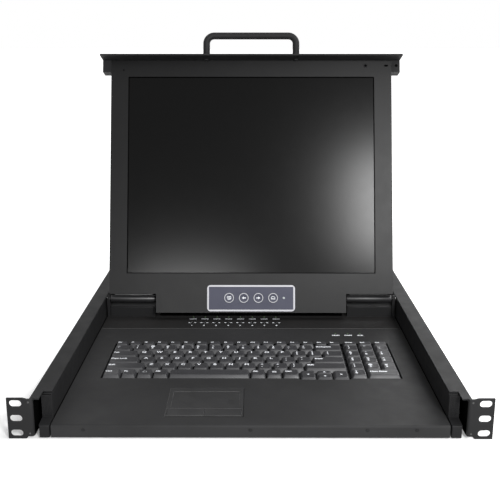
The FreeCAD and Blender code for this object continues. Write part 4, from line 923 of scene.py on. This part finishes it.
def shell_ring(face, x, level, shape, rise):
    """One ring of a D-shaped shell: half width, half height and slope of its sides."""
    half, tall, lean = shape
    corners = [(x + half, level + tall), (x - half, level + tall),
               (x - half + lean, level - tall), (x + half - lean, level - tall)]
    points = []
    for index, (cx, cy) in enumerate(corners):
        for other in (corners[index - 1], corners[(index + 1) % 4]):
            share = SHELL_ROUND / math.hypot(other[0] - cx, other[1] - cy)
            points.append((cx + (other[0] - cx) * share, cy + (other[1] - cy) * share))
    return placed(face, points, rise)


def rear_sockets():
    """Shells, blue contact blocks, painted shade in the contact holes, and nuts of the eight video
    sockets.
    """
    face = plane_matrix(Vector((0, high_corner("console_case")[1], 0)), *TOWARD_REAR)
    metal, block, contact_shade, numbers = (bmesh.new() for _ in range(4))
    first = low_corner("video_sockets")[0] / MM + PLATE_HALF
    last = high_corner("video_sockets")[0] / MM - PLATE_HALF
    level = height(SOCKET_LEVEL) / MM
    for index in range(PORT_COUNT):
        x = -(first + (last - first) * index / (PORT_COUNT - 1))
        plate = rounded((x - PLATE_HALF, x + PLATE_HALF), (level - PLATE_RISE, level + PLATE_RISE), 2)
        loft(metal, [placed(face, plate, rise) for rise in (0, PLATE_THICK)])
        loft(metal, [shell_ring(face, x, level, shape, rise) for shape, rise in (
            (SHELL_OUTSIDE, PLATE_THICK), (SHELL_OUTSIDE, SHELL_DEPTH),
            (SHELL_INSIDE, SHELL_DEPTH), (SHELL_INSIDE, 1))])
        loft(block, [shell_ring(face, x, level, BLOCK_SHAPE, rise) for rise in (1, BLOCK_DEPTH)])
        # Painted shade: black discs where the contact holes are
        for row in (-1, 0, 1):
            for column in range(-2, 3):
                place = (x + column * CONTACT_PITCH + row * CONTACT_SHIFT, level + row * CONTACT_ROW)
                disc(contact_shade, spot(face, *place, BLOCK_DEPTH), 0.5, 0.04, 10)
        for side in SIDES:
            lathe(metal, NUT_PROFILE, spot(face, x + side * NUT_X, level), 6)
        write(numbers, str(index + 1), (x, level + NUMBER_RISE), 5.2, face)
    add_piece("socket_shells", metal, "zinc", "drawer", ["video_sockets"])
    add_piece("socket_blocks", block, "blue", "drawer")
    add_piece("socket_hole_shade", contact_shade, "painted_shade", "drawer")
    add_piece("socket_numbers", numbers, "print", "drawer")


BLADES = ((162.6, -1.825), (169.6, 2.175), (176.6, -1.825))
BLADE_HALF, BLADE_RISE = 0.6, 2.1
BLADE_RINGS = ((-14.6, 0), (-2.2, 0), (-1.4, 0.35))


def inlet_blades():
    """Metal blades inside the mains inlet."""
    blades = bmesh.new()
    face = plane_matrix(Vector((0, high_corner("console_case")[1], 0)), *TOWARD_REAR)
    for x, z in BLADES:
        rings = []
        for rise, slim in BLADE_RINGS:
            half, tall = BLADE_HALF - slim, BLADE_RISE - slim
            rings.append(placed(face, rounded((-x - half, -x + half), (z - tall, z + tall), 0.3), rise))
        loft(blades, rings)
    add_piece("inlet_blades", blades, "bright", "drawer")


ROCKER_PIVOT, ROCKER_TILT = Vector((135.6, 600, 0.175)), math.radians(8)
ROCKER_SLOPE = math.atan2(1.1, 6.4)
SIGN_PLACE = (3.2, 3.95)


def rocker_signs():
    """Line and ring on the two slopes of the rocker."""
    signs = bmesh.new()
    tilt = Matrix.Translation(ROCKER_PIVOT * MM) @ Matrix.Rotation(ROCKER_TILT, 4, "Z")
    for side in (1, -1):
        across = Vector((-math.cos(ROCKER_SLOPE), -side * math.sin(ROCKER_SLOPE), 0))
        place = Vector((side * SIGN_PLACE[0], SIGN_PLACE[1], 0)) * MM
        face = tilt @ plane_matrix(place, across, UP)
        if side > 0:
            stroke(signs, [(0, -1.6), (0, 1.6)], 0.6, face)
        else:
            stroke(signs, arc((0, 0), 1.5, 0, 360, 20), 0.5, face)
    add_piece("rocker_signs", signs, "print", "rocker")


# ---------------------------------------------------------------- studio

# Name, place, target and size in metres, and power in watts
LAMPS = (
    ("overhead", (0.9, -0.1, 1.6), (0.05, 0.15, 0), (0.9, 0.9), 17),
    ("front_right", (0.46, -1.08, 0.78), (0.16, 0.37, 0.15), (0.22, 0.32), 19),
    ("low_front", (-0.20, -1.17, 0.50), (-0.07, 0.34, 0.05), (0.34, 0.10), 5.5),
    ("right_back", (1.7, 0.9, 1.2), (0, 0.2, 0), (1.0, 1.2), 10),
    ("rear_right", (1.1, 2.0, 1.1), (0, 0.35, 0.1), (1.0, 0.9), 17),
)
WORLD_LEVEL, FLOOR_SIZE, FLOOR_WHITE = 0.26, 40.0, 0.85
GLOW_LOW, GLOW_BEHIND, GLOW_AROUND = 0.14, (0.0, 0.3), (0.45, 1.2)
CAMERA_PLACE, CAMERA_PITCH, CAMERA_TURN = (0.002, -0.7295, 0.3621), 75.42, 0.19
SENSOR_WIDTH, LENS = 36, 57.77


def soft_light(name, place, target, size, power):
    """Rectangular lamp that faces its target."""
    data = bpy.data.lights.new(name, "AREA")
    data.shape, data.size, data.size_y = "RECTANGLE", size[0], size[1]
    data.energy = power
    lamp = bpy.data.objects.new(name, data)
    bpy.context.scene.collection.objects.link(lamp)
    lamp.location = place
    lamp.rotation_euler = (Vector(target) - Vector(place)).to_track_quat("-Z", "Y").to_euler()


def combine(tree, operation, first, second):
    """Output of a math node with two inputs."""
    node = tree.nodes.new("ShaderNodeMath")
    node.operation = operation
    link(tree, first, node.inputs[0])
    link(tree, second, node.inputs[1])
    return node.outputs["Value"]


def seen_directly(tree):
    """1 for rays that meet the background by sight, by gloss or through glass, otherwise 0."""
    paths = tree.nodes.new("ShaderNodeLightPath")
    result = paths.outputs["Is Camera Ray"]
    for ray in ("Is Glossy Ray", "Is Transmission Ray"):
        result = combine(tree, "MAXIMUM", result, paths.outputs[ray])
    return result


def pale_world():
    """White where it is seen, and a plain soft level where it lights."""
    world = bpy.data.worlds.new("studio")
    bpy.context.scene.world = world
    world.use_nodes = True
    tree = world.node_tree
    sky = tree.nodes["Background"]
    sky.inputs["Color"].default_value = (1, 1, 1, 1)
    level = remap(tree, seen_directly(tree), WORLD_LEVEL, 1.0, (0.0, 1.0))
    link(tree, level, sky.inputs["Strength"])


def floor_look():
    """White floor that glows brighter behind and around the part than under its front: painted light
    that washes out the part's shadow there.
    """
    material, tree, shader = new_material("floor_white")
    shader.inputs["Base Color"].default_value = (FLOOR_WHITE, FLOOR_WHITE, FLOOR_WHITE, 1)
    shader.inputs["Roughness"].default_value = 0.9
    place = tree.nodes.new("ShaderNodeTexCoord").outputs["Object"]
    reach = tree.nodes.new("ShaderNodeSeparateXYZ")
    link(tree, place, reach.inputs["Vector"])
    distance = tree.nodes.new("ShaderNodeVectorMath")
    distance.operation = "LENGTH"
    link(tree, place, distance.inputs[0])
    behind = remap(tree, reach.outputs["Y"], GLOW_LOW, 1.0, GLOW_BEHIND)
    around = remap(tree, distance.outputs["Value"], GLOW_LOW, 1.0, GLOW_AROUND)
    bright = combine(tree, "MAXIMUM", behind, around)
    glow = combine(tree, "MULTIPLY", seen_directly(tree), bright)
    link(tree, glow, shader.inputs["Emission Strength"])
    shader.inputs["Emission Color"].default_value = (1, 1, 1, 1)
    return material


def studio_floor():
    bm = bmesh.new()
    bmesh.ops.create_grid(bm, x_segments=2, y_segments=2, size=FLOOR_SIZE)
    mesh = bpy.data.meshes.new("floor")
    bm.to_mesh(mesh)
    bm.free()
    floor = bpy.data.objects.new("floor", mesh)
    floor.location.z = height(-0.1)
    bpy.context.scene.collection.objects.link(floor)
    floor.data.materials.append(floor_look())


def studio_camera():
    scene = bpy.context.scene
    camera = bpy.data.objects.new("camera", bpy.data.cameras.new("camera"))
    scene.collection.objects.link(camera)
    camera.location = CAMERA_PLACE
    camera.rotation_euler = (math.radians(CAMERA_PITCH), 0, math.radians(CAMERA_TURN))
    camera.data.sensor_width = SENSOR_WIDTH
    camera.data.lens = LENS
    scene.camera = camera
    scene.view_settings.view_transform = "Standard"


# ---------------------------------------------------------------- build

dress_nodes()
main_keys()
number_pad()
panel_buttons()
cover_screws()
lid_screws()
handle_screws()
slide_screws()
ear_rivets()
front_screws()
inlet_screws()
lid_details()
port_prints()
lock_prints()
deck_edges()
post_ribs()
ear_shades()
touch_surface()
rear_sockets()
inlet_blades()
rocker_signs()
for lamp in LAMPS:
    soft_light(*lamp)
pale_world()
studio_floor()
studio_camera()
